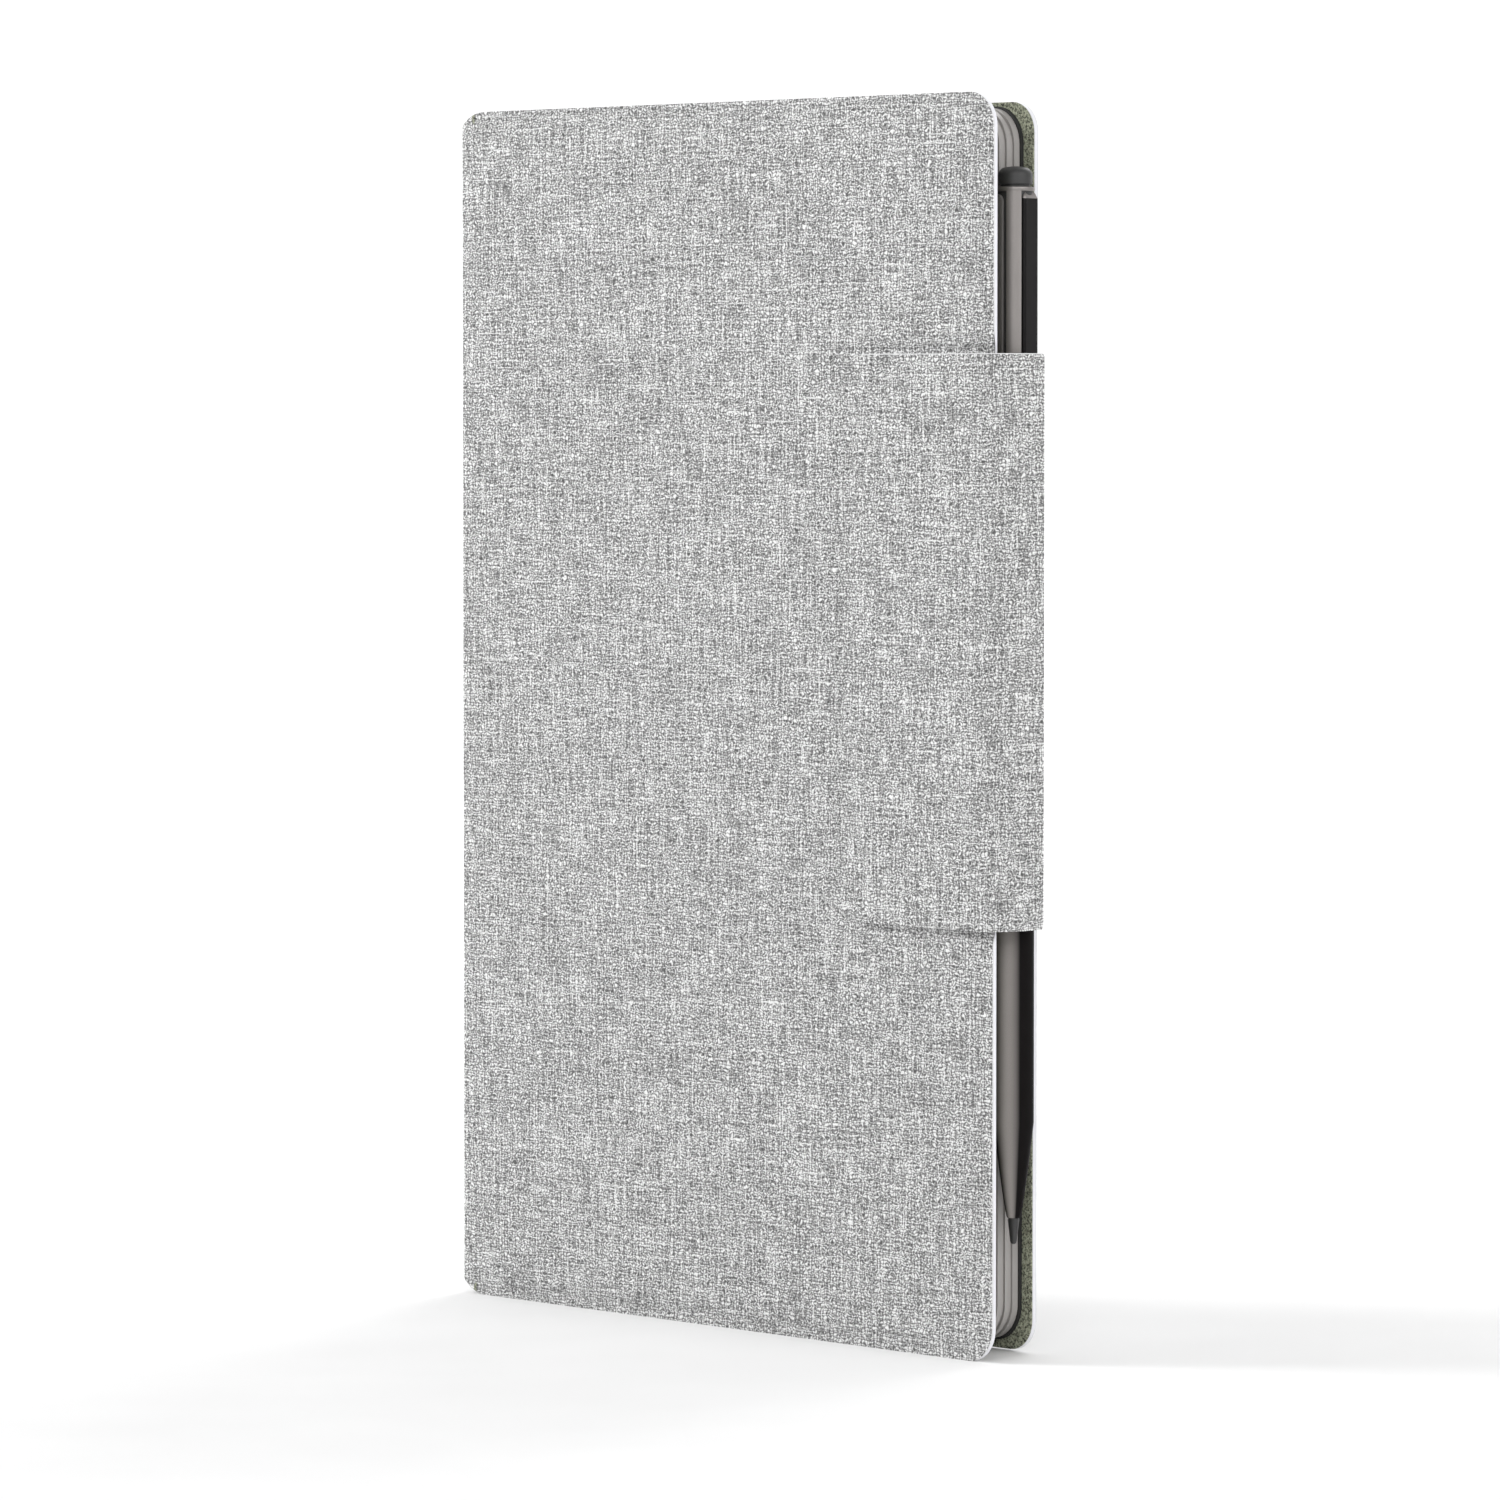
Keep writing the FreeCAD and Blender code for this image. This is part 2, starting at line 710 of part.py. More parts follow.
def key_works():
    """Circuit sheet, one rubber dome and one scissor frame for each key, drawn pressed flat."""
    sheet_front = size("coverBack") + size("basePlate")
    sheet_back = sheet_front + size("circuitSheet")
    slots = key_slots()
    field = (
        min(bounds[0] for _, _, bounds in slots),
        max(bounds[1] for _, _, bounds in slots),
        min(bounds[2] for _, _, bounds in slots),
        max(bounds[3] for _, _, bounds in slots),
    )
    shape_part("key_circuit_sheet", block(field, sheet_front, sheet_back))
    rise, foot, crown = size("domeHeight"), size("domeRadius"), size("domeTopRadius")
    half_width, half_length = size("scissorWidth") / 2, size("scissorLength") / 2
    bar, frame_back = size("scissorBar"), sheet_back + size("scissorHeight")
    domes, frames = [], []
    for _, _, (left, right, low, high) in slots:
        middle = Vector((left + right) / 2, sheet_back, (low + high) / 2)
        domes.append(Part.makeCone(foot, crown, rise, middle, Vector(0, 1, 0)))
        bounds = (
            middle.x - half_width,
            middle.x + half_width,
            middle.z - half_length,
            middle.z + half_length,
        )
        ring = block(bounds, sheet_back, frame_back)
        frames.append(ring.cut(block(bounds, sheet_front, frame_back + bar, -bar)))
    shape_part("key_domes", Part.makeCompound(domes))
    shape_part("key_scissors", Part.makeCompound(frames))


def electronics():
    """Battery, controller board with the charge port, and the lights in the deck."""
    under = size("coverBack") + size("basePlate")
    battery = rounded_block(BATTERY, under, under + size("batteryThickness"), 1.0)
    shape_part("keyboard_battery", battery)
    board_back = under + size("circuitBoard")
    board = block(CONTROLLER, under, board_back)
    chips = [block(bounds, board_back, board_back + rise) for bounds, rise in CHIPS]
    shape_part("controller_board", board.multiFuse(chips).removeSplitter())
    front, back, wall = size("portFront"), size("portBack"), size("portWall")
    mouth = block(port_bounds(-wall), front + wall, back - wall)
    mouth.translate(Vector(0, 0, -3 * wall))
    shape_part("charge_port", block(port_bounds(0), front, back).cut(mouth))
    deck_back = size("deckTop")
    deck_front = deck_back - size("deckSheet")
    lights = [deck_cylinder(*spot, LIGHT_RADIUS, deck_front, deck_back) for spot in LIGHT_SPOTS]
    shape_part("status_lights", Part.makeCompound(lights))


def controls():
    """Sliding power switch and round connect button, each with a flange under the deck."""
    under, top = size("deckTop") - size("deckSheet"), size("deckTop") + size("controlRise")
    knob = block(SWITCH_KNOB, under - 0.5, top)
    flange = block(SWITCH_FLANGE, under - 1.1, under - 0.4)
    shape_part("power_switch", knob.fuse(flange).removeSplitter())
    stem = deck_cylinder(*BUTTON_SPOT, BUTTON_RADIUS, under - 1.0, top)
    foot = deck_cylinder(*BUTTON_SPOT, BUTTON_FOOT, under - 1.0, under - 0.4)
    shape_part("connect_button", stem.fuse(foot).removeSplitter())


def screen_bumpers():
    """Six soft pads that keep the keys off the screen."""
    front, back = size("deckTop"), size("deckTop") + size("bumperRise")
    half_width, half_length = 1.0, 4.0
    pads = []
    for spot_x in (size("boardLeft") + 3.5, size("boardLeft") + 24):
        for spot_z in (14.0, size("coverHeight") / 2, size("coverHeight") - 14.0):
            bounds = (
                spot_x - half_width,
                spot_x + half_width,
                spot_z - half_length,
                spot_z + half_length,
            )
            pads.append(rounded_block(bounds, front, back, 0.9 * half_width))
    shape_part("screen_bumpers", Part.makeCompound(pads))


# ---------------------------------------------------------------- stylus

def pen_section(kind, name, low, high, **radii):
    """A round primitive on the stylus's axis, between two heights."""
    section = doc.addObject(kind, name)
    for prop, formula in radii.items():
        bind(section, prop, formula)
    bind(section, "Height", f"({high}) - ({low})")
    bind(section, "Placement.Base.x", "penX")
    bind(section, "Placement.Base.y", "penY")
    bind(section, "Placement.Base.z", low)
    return section


def pen_cut(label, outer, inner):
    """A hollow sub-part of the stylus."""
    cut = doc.addObject("Part::Cut", label + "_hollow")
    cut.Base = outer
    cut.Tool = inner
    return finish_part(cut, label)


def stylus():
    """Hollow barrel, end cap, cone and nib, with side rails outside and the works inside."""
    barrel = pen_section(
        "Part::Cylinder", "pen_barrel", "penConeHigh", "penShoulder", Radius="penRadius"
    )
    bore = pen_section(
        "Part::Cylinder", "pen_bore", "penConeHigh", "penShoulder", Radius="penRadius - penWall"
    )
    pen_cut("stylus_barrel", barrel, bore)
    cone = pen_section(
        "Part::Cone",
        "pen_cone",
        "penConeLow",
        "penConeHigh",
        Radius1="penNibRadius",
        Radius2="penRadius",
    )
    socket = pen_section(
        "Part::Cylinder", "pen_socket", "penConeLow", "penConeHigh", Radius="penNibRadius / 2"
    )
    pen_cut("stylus_cone", cone, socket)
    nib = pen_section(
        "Part::Cone", "pen_nib", "penTip", "penConeLow", Radius1="penPointRadius", Radius2="penNibRadius"
    )
    nib_stem = pen_section(
        "Part::Cylinder", "pen_nib_stem", "penConeLow", "penConeHigh", Radius="penNibRadius / 2"
    )
    nib_parts = doc.addObject("Part::Fuse", "pen_nib_whole")
    nib_parts.Base = nib
    nib_parts.Tool = nib_stem
    finish_part(nib_parts, "stylus_nib")
    coil = pen_section(
        "Part::Cylinder",
        "pen_coil",
        "penConeHigh",
        "penConeHigh + penCoilLength",
        Radius="penRadius - penWall - penCoilGap",
    )
    coil.Label = "stylus_coil"
    bind(coil, "Placement.Base.x", "freeEdgeX + penX")
    bind(coil, "Placement.Base.y", "frontFaceY + penY")
    PARTS.append(coil)


def stylus_cap():
    """Rounded end cap with a neck that plugs the barrel."""
    radius, shoulder, top = size("penCapRadius"), size("penShoulder"), size("penTop")
    axis_point = Vector(size("penX"), size("penY"), 0)
    cap = Part.makeCylinder(radius, top - shoulder, axis_point + Vector(0, 0, shoulder))
    rim = [e for e in cap.Edges if all(abs(v.Z - top) < 1e-6 for v in e.Vertexes)]
    cap = cap.makeFillet(size("penCapEdge"), rim)
    neck_radius, length = size("penRadius") - size("penWall"), size("penNeck")
    neck = Part.makeCylinder(neck_radius, length, axis_point + Vector(0, 0, shoulder - length))
    shape_part("stylus_cap", cap.fuse(neck).removeSplitter())


RAIL_ANGLES = (-113, 15)


def stylus_rails():
    """Two flat-faced rails along the upper barrel, one on each side."""
    middle = Vector(size("penX"), size("penY"), 0)
    high = size("penShoulder") - size("railBelowShoulder")
    length, width, radius = size("railLength"), size("railWidth"), size("penRadius")
    barrel = Part.makeCylinder(radius, 2 * length, middle + Vector(0, 0, high - length - radius))
    rails = []
    for angle in RAIL_ANGLES:
        # drawn towards +X, then turned about the stylus's axis
        start = Vector(0, 0, high - length)
        outer = Part.makeCylinder(radius + size("railRise"), length, start)
        side = start + Vector(radius / 2, -width / 2, 0)
        rail = outer.common(Part.makeBox(radius, width, length, side))
        rail.rotate(Vector(0, 0, 0), Vector(0, 0, 1), angle)
        rail.translate(middle)
        rails.append(rail.cut(barrel))
    shape_part("stylus_rails", Part.makeCompound(rails))


def stylus_board():
    """Slim circuit board inside the upper barrel."""
    half_width, half_depth = size("penBoardWidth") / 2, size("penBoardThickness") / 2
    bounds = (
        size("penX") - half_width,
        size("penX") + half_width,
        size("penBoardLow"),
        size("penBoardHigh"),
    )
    shape_part("stylus_board", block(bounds, size("penY") - half_depth, size("penY") + half_depth))


front_cover()
front_cover_magnets()
spine()
rear_cover()
camera_bezel()
tablet_tray()
tray_gasket()
kickstand()
stand_seat()
kickstand_hinge()
flap_panel()
flap_strip()
keyboard_base()
keyboard_deck()
keycaps()
key_works()
electronics()
controls()
screen_bumpers()
stylus()
stylus_cap()
stylus_rails()
stylus_board()
doc.recompute()

for thing in doc.Objects:
    if {"Invalid", "Error"} & set(thing.State):
        raise RuntimeError(f"{thing.Name} did not build: {thing.State}")
for sub_part in PARTS:
    if sub_part.Shape.isNull() or not sub_part.Shape.isValid():
        raise RuntimeError(f"{sub_part.Label} has no valid shape")

os.makedirs("parts", exist_ok=True)
for sub_part in PARTS:
    sub_part.Shape.exportStep(f"parts/{sub_part.Label}.step")
print(len(PARTS), "sub-parts written")
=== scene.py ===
import json
import math

import bmesh
import bpy
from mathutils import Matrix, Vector


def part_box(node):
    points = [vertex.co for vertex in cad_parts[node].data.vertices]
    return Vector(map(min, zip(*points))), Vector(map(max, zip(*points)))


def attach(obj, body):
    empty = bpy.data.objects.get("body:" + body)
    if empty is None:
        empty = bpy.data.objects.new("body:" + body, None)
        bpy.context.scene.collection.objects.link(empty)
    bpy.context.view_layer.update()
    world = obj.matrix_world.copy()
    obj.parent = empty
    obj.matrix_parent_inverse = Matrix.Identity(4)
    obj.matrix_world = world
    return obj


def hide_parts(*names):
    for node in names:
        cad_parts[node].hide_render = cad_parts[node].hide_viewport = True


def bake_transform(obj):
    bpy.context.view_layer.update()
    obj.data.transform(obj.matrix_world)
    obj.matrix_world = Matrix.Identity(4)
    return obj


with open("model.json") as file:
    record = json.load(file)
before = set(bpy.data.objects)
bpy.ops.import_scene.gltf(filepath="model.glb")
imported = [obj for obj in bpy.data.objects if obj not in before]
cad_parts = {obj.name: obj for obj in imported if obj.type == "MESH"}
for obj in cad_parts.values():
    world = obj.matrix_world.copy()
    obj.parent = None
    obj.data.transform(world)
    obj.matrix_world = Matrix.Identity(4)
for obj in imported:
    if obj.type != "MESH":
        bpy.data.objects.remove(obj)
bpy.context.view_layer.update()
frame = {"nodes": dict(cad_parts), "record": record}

MM = 0.001
TURN = 2 * math.pi

# Case coordinates, in millimetres, as the CAD has them: X from the spine (negative) to the front
# cover's free edge (0), Y from the front cover's outer face (0) to the rear, Z up.
FREE_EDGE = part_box("front_cover_board")[1].x
FRONT_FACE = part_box("front_cover_fabric")[0].y


def place(x, y, z):
    """A point in case coordinates, as a place in the frame, in metres."""
    return Vector((FREE_EDGE + x * MM, FRONT_FACE + y * MM, z * MM))


def case_box(*nodes):
    """The case coordinates of the box round one or more CAD nodes: lows, then highs."""
    lows = [min(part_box(node)[0][axis] for node in nodes) for axis in range(3)]
    highs = [max(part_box(node)[1][axis] for node in nodes) for axis in range(3)]
    shift = (FREE_EDGE, FRONT_FACE, 0)
    return (
        [(low - s) / MM for low, s in zip(lows, shift)],
        [(high - s) / MM for high, s in zip(highs, shift)],
    )


SPINE_OUT = case_box("spine_fabric")[0][0]
SPINE_LOW = case_box("spine_fabric")[0][2]
SPINE_HIGH = case_box("spine_fabric")[1][2]
COVER_HIGH = case_box("front_cover_board")[1][2]
(_, _, REAR_LOW), (_, CASE_DEPTH, REAR_HIGH) = case_box("rear_cover_fabric")


# ------------------------------------------------------------------ materials

class Shader:
    """A material's nodes, with short calls for the ones used here."""

    def __init__(self, name, roughness, metallic=0.0, specular=0.5, sheen=0.0):
        self.material = bpy.data.materials.new(name)
        self.material.use_nodes = True
        self.tree = self.material.node_tree
        self.surface = self.tree.nodes["Principled BSDF"]
        self.surface.inputs["Roughness"].default_value = roughness
        self.surface.inputs["Metallic"].default_value = metallic
        self.surface.inputs["Specular IOR Level"].default_value = specular
        self.surface.inputs["Sheen Weight"].default_value = sheen
        where = self.tree.nodes.new("ShaderNodeTexCoord").outputs["Object"]
        self.place = self.vector("MULTIPLY", where, (1 / MM, 1 / MM, 1 / MM))

    def fill(self, socket, value):
        """Link a socket to another one, or set it to a constant."""
        if isinstance(value, bpy.types.NodeSocket):
            self.tree.links.new(value, socket)
        else:
            socket.default_value = value

    def math(self, operation, *values, clamp=False):
        node = self.tree.nodes.new("ShaderNodeMath")
        node.operation = operation
        node.use_clamp = clamp
        for socket, value in zip(node.inputs, values):
            self.fill(socket, value)
        return node.outputs[0]

    def vector(self, operation, *values):
        node = self.tree.nodes.new("ShaderNodeVectorMath")
        node.operation = operation
        for socket, value in zip(node.inputs, values):
            self.fill(socket, value)
        return node.outputs[0]

    def noise(self, where, stretch=(1, 1, 1), detail=2.0, roughness=0.5):
        """Noise whose grain is about one unit, over a place multiplied by a stretch."""
        node = self.tree.nodes.new("ShaderNodeTexNoise")
        node.inputs["Scale"].default_value = 1.0
        node.inputs["Detail"].default_value = detail
        node.inputs["Roughness"].default_value = roughness
        self.fill(node.inputs["Vector"], self.vector("MULTIPLY", where, stretch))
        return node

    def ramp(self, value, *stops):
        """Stops are (place, grey or colour)."""
        node = self.tree.nodes.new("ShaderNodeValToRGB")
        self.fill(node.inputs["Fac"], value)
        elements = node.color_ramp.elements
        while len(elements) < len(stops):
            elements.new(0.5)
        for element, (position, colour) in zip(elements, stops):
            element.position = position
            colour = (colour,) * 3 if isinstance(colour, (int, float)) else colour
            element.color = (*colour, 1)
        return node.outputs["Color"]

    def shaded(self, first, second):
        """One colour multiplied by another."""
        node = self.tree.nodes.new("ShaderNodeMix")
        node.data_type = "RGBA"
        node.blend_type = "MULTIPLY"
        self.fill(node.inputs["Factor"], 1.0)
        self.fill(node.inputs[6], first)
        self.fill(node.inputs[7], second)
        return node.outputs[2]

    def colour(self, value):
        self.fill(self.surface.inputs["Base Color"], value)

    def bump(self, height, strength, distance):
        node = self.tree.nodes.new("ShaderNodeBump")
        node.inputs["Strength"].default_value = strength
        node.inputs["Distance"].default_value = distance * MM
        self.fill(node.inputs["Height"], height)
        self.fill(self.surface.inputs["Normal"], node.outputs["Normal"])

    def parts(self, where):
        """The X, Y and Z of a place, by name."""
        node = self.tree.nodes.new("ShaderNodeSeparateXYZ")
        self.fill(node.inputs[0], where)
        return node.outputs

    def cloth_place(self):
        """A place along the cloth: X plus Y across it, which runs on round a fold, and Z up."""
        parts = self.parts(self.place)
        joined = self.tree.nodes.new("ShaderNodeCombineXYZ")
        self.fill(joined.inputs["X"], self.math("ADD", parts["X"], parts["Y"]))
        self.fill(joined.inputs["Y"], parts["Z"])
        return joined.outputs[0]


WARP_PITCH = 0.74
WEFT_PITCH = 0.51
THREAD_WANDER = (2.2, 1.5, 0)
# stretches of the noise, across and along: short one way and long the other
WARP_STREAKS = (1.7, 0.13, 1)
WEFT_STREAKS = (0.13, 2.3, 1)
SLUBS = ((0.10, 2.4, 1), (2.0, 0.12, 1))
SLUB_START = 0.6
SLUB_HEIGHT = 1.5


def woven(name, dark, middle, light):
    """Heather linen: a plain weave of uneven threads, thick and thin, pale and dark."""
    shader = Shader(name, roughness=0.92, specular=0.15, sheen=0.08)
    cloth = shader.cloth_place()
    drift = shader.noise(cloth, (0.85, 0.95, 1), detail=1.0).outputs["Color"]
    drift = shader.vector("MULTIPLY", shader.vector("SUBTRACT", drift, (0.5, 0.5, 0.5)), THREAD_WANDER)
    parts = shader.parts(shader.vector("ADD", cloth, drift))
    warp_wave = shader.math("SINE", shader.math("MULTIPLY", parts["X"], math.pi / WARP_PITCH))
    weft_wave = shader.math("SINE", shader.math("MULTIPLY", parts["Y"], math.pi / WEFT_PITCH))
    crossing = shader.math("MULTIPLY", warp_wave, weft_wave)
    warp = shader.math("ADD", shader.math("ABSOLUTE", warp_wave), crossing)
    weft = shader.math("SUBTRACT", shader.math("ABSOLUTE", weft_wave), crossing)
    uneven = []
    for thread, streaks in ((warp, WARP_STREAKS), (weft, WEFT_STREAKS)):
        tone = shader.noise(cloth, streaks, detail=1.0).outputs["Fac"]
        uneven.append(shader.math("MULTIPLY", thread, shader.math("MULTIPLY_ADD", tone, 1.2, -0.05)))
    height = shader.math("MULTIPLY", shader.math("MAXIMUM", *uneven), 0.6)
    fuzz = shader.noise(cloth, (2.2, 2.2, 1), detail=2.0).outputs["Fac"]
    height = shader.math("ADD", height, shader.math("MULTIPLY_ADD", fuzz, 0.4, -0.2))
    for stretch in SLUBS:
        slub = shader.noise(cloth, stretch, detail=1.0).outputs["Fac"]
        slub = shader.math("SUBTRACT", slub, SLUB_START, clamp=True)
        height = shader.math("MULTIPLY_ADD", slub, SLUB_HEIGHT, height)
    tone = shader.ramp(height, (0.10, dark), (0.37, middle), (0.65, light))
    cloudy = shader.ramp(shader.noise(cloth, (0.03, 0.03, 1)).outputs["Fac"], (0.3, 0.96), (0.7, 1.0))
    shader.colour(shader.shaded(tone, cloudy))
    shader.bump(height, 0.8, 0.3)
    return shader.material


def napped(name, dark, light):
    """Short suede-like nap, in two mixed tones."""
    shader = Shader(name, roughness=0.95, specular=0.15, sheen=0.2)
    grain = shader.noise(shader.place, (2.6, 2.6, 2.6), detail=3.0, roughness=0.75).outputs["Fac"]
    shader.colour(shader.ramp(grain, (0.38, dark), (0.62, light)))
    shader.bump(grain, 0.6, 0.25)
    return shader.material


def moulded(name, base, roughness, grain=3.0, depth=0.03, spread=0.06, **finish):
    """Moulded plastic, rubber or coated metal: fine grain and slight unevenness of tone."""
    shader = Shader(name, roughness=roughness, **finish)
    fine = shader.noise(shader.place, (grain, grain, grain), detail=2.0).outputs["Fac"]
    broad = shader.noise(shader.place, (0.06, 0.06, 0.06), detail=3.0).outputs["Fac"]
    tone = shader.math("MULTIPLY_ADD", fine, 0.4, shader.math("MULTIPLY", broad, 0.6))
    low = tuple(c * (1 - spread) for c in base)
    high = tuple(min(1, c * (1 + spread)) for c in base)
    shader.colour(shader.ramp(tone, (0.35, low), (0.65, high)))
    shader.bump(fine, 0.35, depth)
    return shader.material


def brushed(name, base, roughness):
    """Metal with fine marks along Z."""
    shader = Shader(name, roughness=roughness, metallic=1.0)
    marks = shader.noise(shader.place, (9, 9, 0.25), detail=3.0).outputs["Fac"]
    low = tuple(c * 0.8 for c in base)
    shader.colour(shader.ramp(marks, (0.3, low), (0.7, base)))
    shader.bump(marks, 0.25, 0.02)
    return shader.material


# degrees round the stylus from X, where its painted highlight is brightest
HIGHLIGHT_ANGLE = -70


def painted_highlight_metal(name, base, light):
    """The stylus's dark satin metal, with a painted highlight: a lighter band that fades out round the
    barrel.
    """
    shader = Shader(name, roughness=0.45, specular=0.02)
    low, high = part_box("stylus_barrel")
    middle = (low + high) / 2 / MM
    outward = shader.vector("SUBTRACT", shader.place, (middle.x, middle.y, 0))
    outward = shader.vector("NORMALIZE", shader.vector("MULTIPLY", outward, (1, 1, 0)))
    highlight_angle = math.radians(HIGHLIGHT_ANGLE)
    node = shader.tree.nodes.new("ShaderNodeVectorMath")
    node.operation = "DOT_PRODUCT"
    shader.fill(node.inputs[0], outward)
    shader.fill(node.inputs[1], (math.cos(highlight_angle), math.sin(highlight_angle), 0))
    # the ramp runs over the cosine of the angle from the painted highlight's middle
    between = tuple(c * 0.6 for c in light)
    tone = shader.ramp(node.outputs["Value"], (0.72, base), (0.90, between), (1.0, light))
    grain = shader.noise(shader.place, (8, 8, 8)).outputs["Fac"]
    shader.colour(shader.shaded(tone, shader.ramp(grain, (0.3, 0.92), (0.7, 1.0))))
    shader.bump(grain, 0.3, 0.01)
    return shader.material


FABRIC = woven("heather_linen", 0.10, 0.40, 0.92)
# the pale colour of cut cloth edges; on the flap's top row it is also a painted highlight
FABRIC_EDGE = moulded("cut_cloth_edge", (0.72, 0.72, 0.73), 0.8, grain=5.0, spread=0.12)
LINING = napped("green_grey_nap", (0.032, 0.034, 0.024), (0.43, 0.45, 0.335))
WHITE_EDGE = moulded("white_edge", (0.80, 0.80, 0.84), 0.5, spread=0.03)
TRAY = moulded("tray_plastic", (0.36, 0.344, 0.333), 0.42, grain=4.0, depth=0.02, spread=0.03)
RUBBER = moulded("black_rubber", (0.018, 0.018, 0.018), 0.7, spread=0.2)
DECK = moulded("deck_plastic", (0.060, 0.060, 0.063), 0.5, grain=6.0, spread=0.1)
KEYS = moulded("key_plastic", (0.022, 0.022, 0.024), 0.45, grain=7.0, spread=0.15)
PEN = moulded("stylus_metal", (0.27, 0.252, 0.243), 0.40, grain=8.0, depth=0.01, metallic=0.8)
# a lighter copy of the stylus metal for the strip: painted light
PEN_STRIP_PAINTED_LIGHT = moulded("stylus_strip", (0.36, 0.34, 0.33), 0.40, grain=8.0, depth=0.01, metallic=0.6)
# dark metal of the lower barrel, with a painted highlight band down one side
PEN_TUBE_PAINTED_HIGHLIGHT = painted_highlight_metal("stylus_tube", (0.009, 0.008, 0.008), (0.36, 0.335, 0.32))
PEN_PANEL = moulded("stylus_panel", (0.010, 0.009, 0.0095), 0.45, grain=8.0, depth=0.01, specular=0.08)
PEN_CAP = moulded("stylus_cap", (0.030, 0.030, 0.030), 0.45, grain=6.0, depth=0.015, spread=0.1)
STEEL = brushed("hinge_steel", (0.55, 0.55, 0.56), 0.35)
CIRCUIT = moulded("circuit_board", (0.02, 0.09, 0.05), 0.45, spread=0.2)
WRAP = moulded("battery_wrap", (0.30, 0.30, 0.32), 0.3, spread=0.1)
LENS = moulded("light_lens", (0.60, 0.75, 0.68), 0.2, spread=0.05)
COPPER = brushed("coil_copper", (0.70, 0.36, 0.20), 0.4)

SLOT_MATERIALS = {
    "cover_fabric": FABRIC,
    "cover_lining": LINING,
    "edge_board": WHITE_EDGE,
    "tray_plastic": TRAY,
    "black_rubber": RUBBER,
    "steel": STEEL,
    "deck_plastic": DECK,
    "key_plastic": KEYS,
    "circuit": CIRCUIT,
    "battery_wrap": WRAP,
    "light_lens": LENS,
    "stylus_body": PEN,
    "stylus_black": PEN_CAP,
    "copper": COPPER,
}
for part in frame["record"]["subparts"]:
    mesh = frame["nodes"][part["node"]].data
    mesh.materials.clear()
    mesh.materials.append(SLOT_MATERIALS[part["material_slot"]])


# ------------------------------------------------------------------ mesh helpers

def add(name, data):
    """A new object in the scene."""
    thing = bpy.data.objects.new(name, data)
    bpy.context.scene.collection.objects.link(thing)
    return thing


def face_outward(mesh, join=0.0):
    """Turn every face outward, with points closer than a distance joined first."""
    bm = bmesh.new()
    bm.from_mesh(mesh)
    if join:
        bmesh.ops.remove_doubles(bm, verts=bm.verts, dist=join)
    bmesh.ops.recalc_face_normals(bm, faces=bm.faces)
    bm.to_mesh(mesh)
    bm.free()


def piece(name, verts, faces, materials, indices=None):
    """A smooth-shaded mesh object from case coordinates."""
    mesh = bpy.data.meshes.new(name)
    mesh.from_pydata([place(*v) for v in verts], [], faces)
    for material in materials:
        mesh.materials.append(material)
    for number, polygon in enumerate(mesh.polygons):
        polygon.use_smooth = True
        polygon.material_index = indices[number] if indices else 0
    face_outward(mesh)
    return add(name, mesh)


OUTER, INNER, RIM = range(3)


def slab(name, outer, inner, materials, painted_highlight_top=False):
    """A closed sheet between two grids of points. Materials: outer face, inner face, rim.

    With a painted highlight top, the outer face's highest row of quads has the rim's pale material as a
    painted highlight along the top edge.
    """
    rows, columns = len(outer), len(outer[0])
    verts = [p for row in outer for p in row] + [p for row in inner for p in row]
    lift = rows * columns
    faces, indices = [], []
    for i in range(rows - 1):
        for j in range(columns - 1):
            a = i * columns + j
            quad = (a, a + 1, a + columns + 1, a + columns)
            faces.append(quad)
            indices.append(RIM if painted_highlight_top and j == columns - 2 else OUTER)
            faces.append(tuple(v + lift for v in reversed(quad)))
            indices.append(INNER)
    rim = [i * columns for i in range(rows)]
    rim += [(rows - 1) * columns + j for j in range(1, columns)]
    rim += [i * columns + columns - 1 for i in range(rows - 2, -1, -1)]
    rim += [j for j in range(columns - 2, 0, -1)]
    for a, b in zip(rim, rim[1:] + rim[:1]):
        faces.append((a, b, b + lift, a + lift))
        indices.append(RIM)
    return piece(name, verts, faces, materials, indices)


def crease_rims(thing, angle=40):
    """Keep edges that turn by more than an angle hard on a smooth-shaded mesh."""
    bm = bmesh.new()
    bm.from_mesh(thing.data)
    for edge in bm.edges:
        if len(edge.link_faces) == 2 and edge.calc_face_angle(0) > math.radians(angle):
            edge.smooth = False
    bm.to_mesh(thing.data)
    bm.free()
    return thing


def smooth_step(value, start, end):
    """0 up to the start, 1 from the end, and an easy rise between."""
    t = min(1, max(0, (value - start) / (end - start)))
    return t * t * (3 - 2 * t)


def inward(x, z, left, right, low, high, left_radius, right_radius):
    """Distance inward from the outline of a rectangle whose corners are rounded."""
    radius = left_radius if x < (left + right) / 2 else right_radius
    dx = min(x - left, right - x)
    dz = min(z - low, high - z)
    if dx < radius and dz < radius:
        return radius - math.hypot(radius - dx, radius - dz)
    return min(dx, dz)


def spaced(start, end, near, count):
    """Numbers from start to end: the given distances in from each end, then even steps."""
    heads = [start + d for d in near]
    tails = [end - d for d in reversed(near)]
    step = (tails[0] - heads[-1]) / (count + 1)
    return heads + [heads[-1] + step * (i + 1) for i in range(count)] + tails


CURVE_STEPS = 24


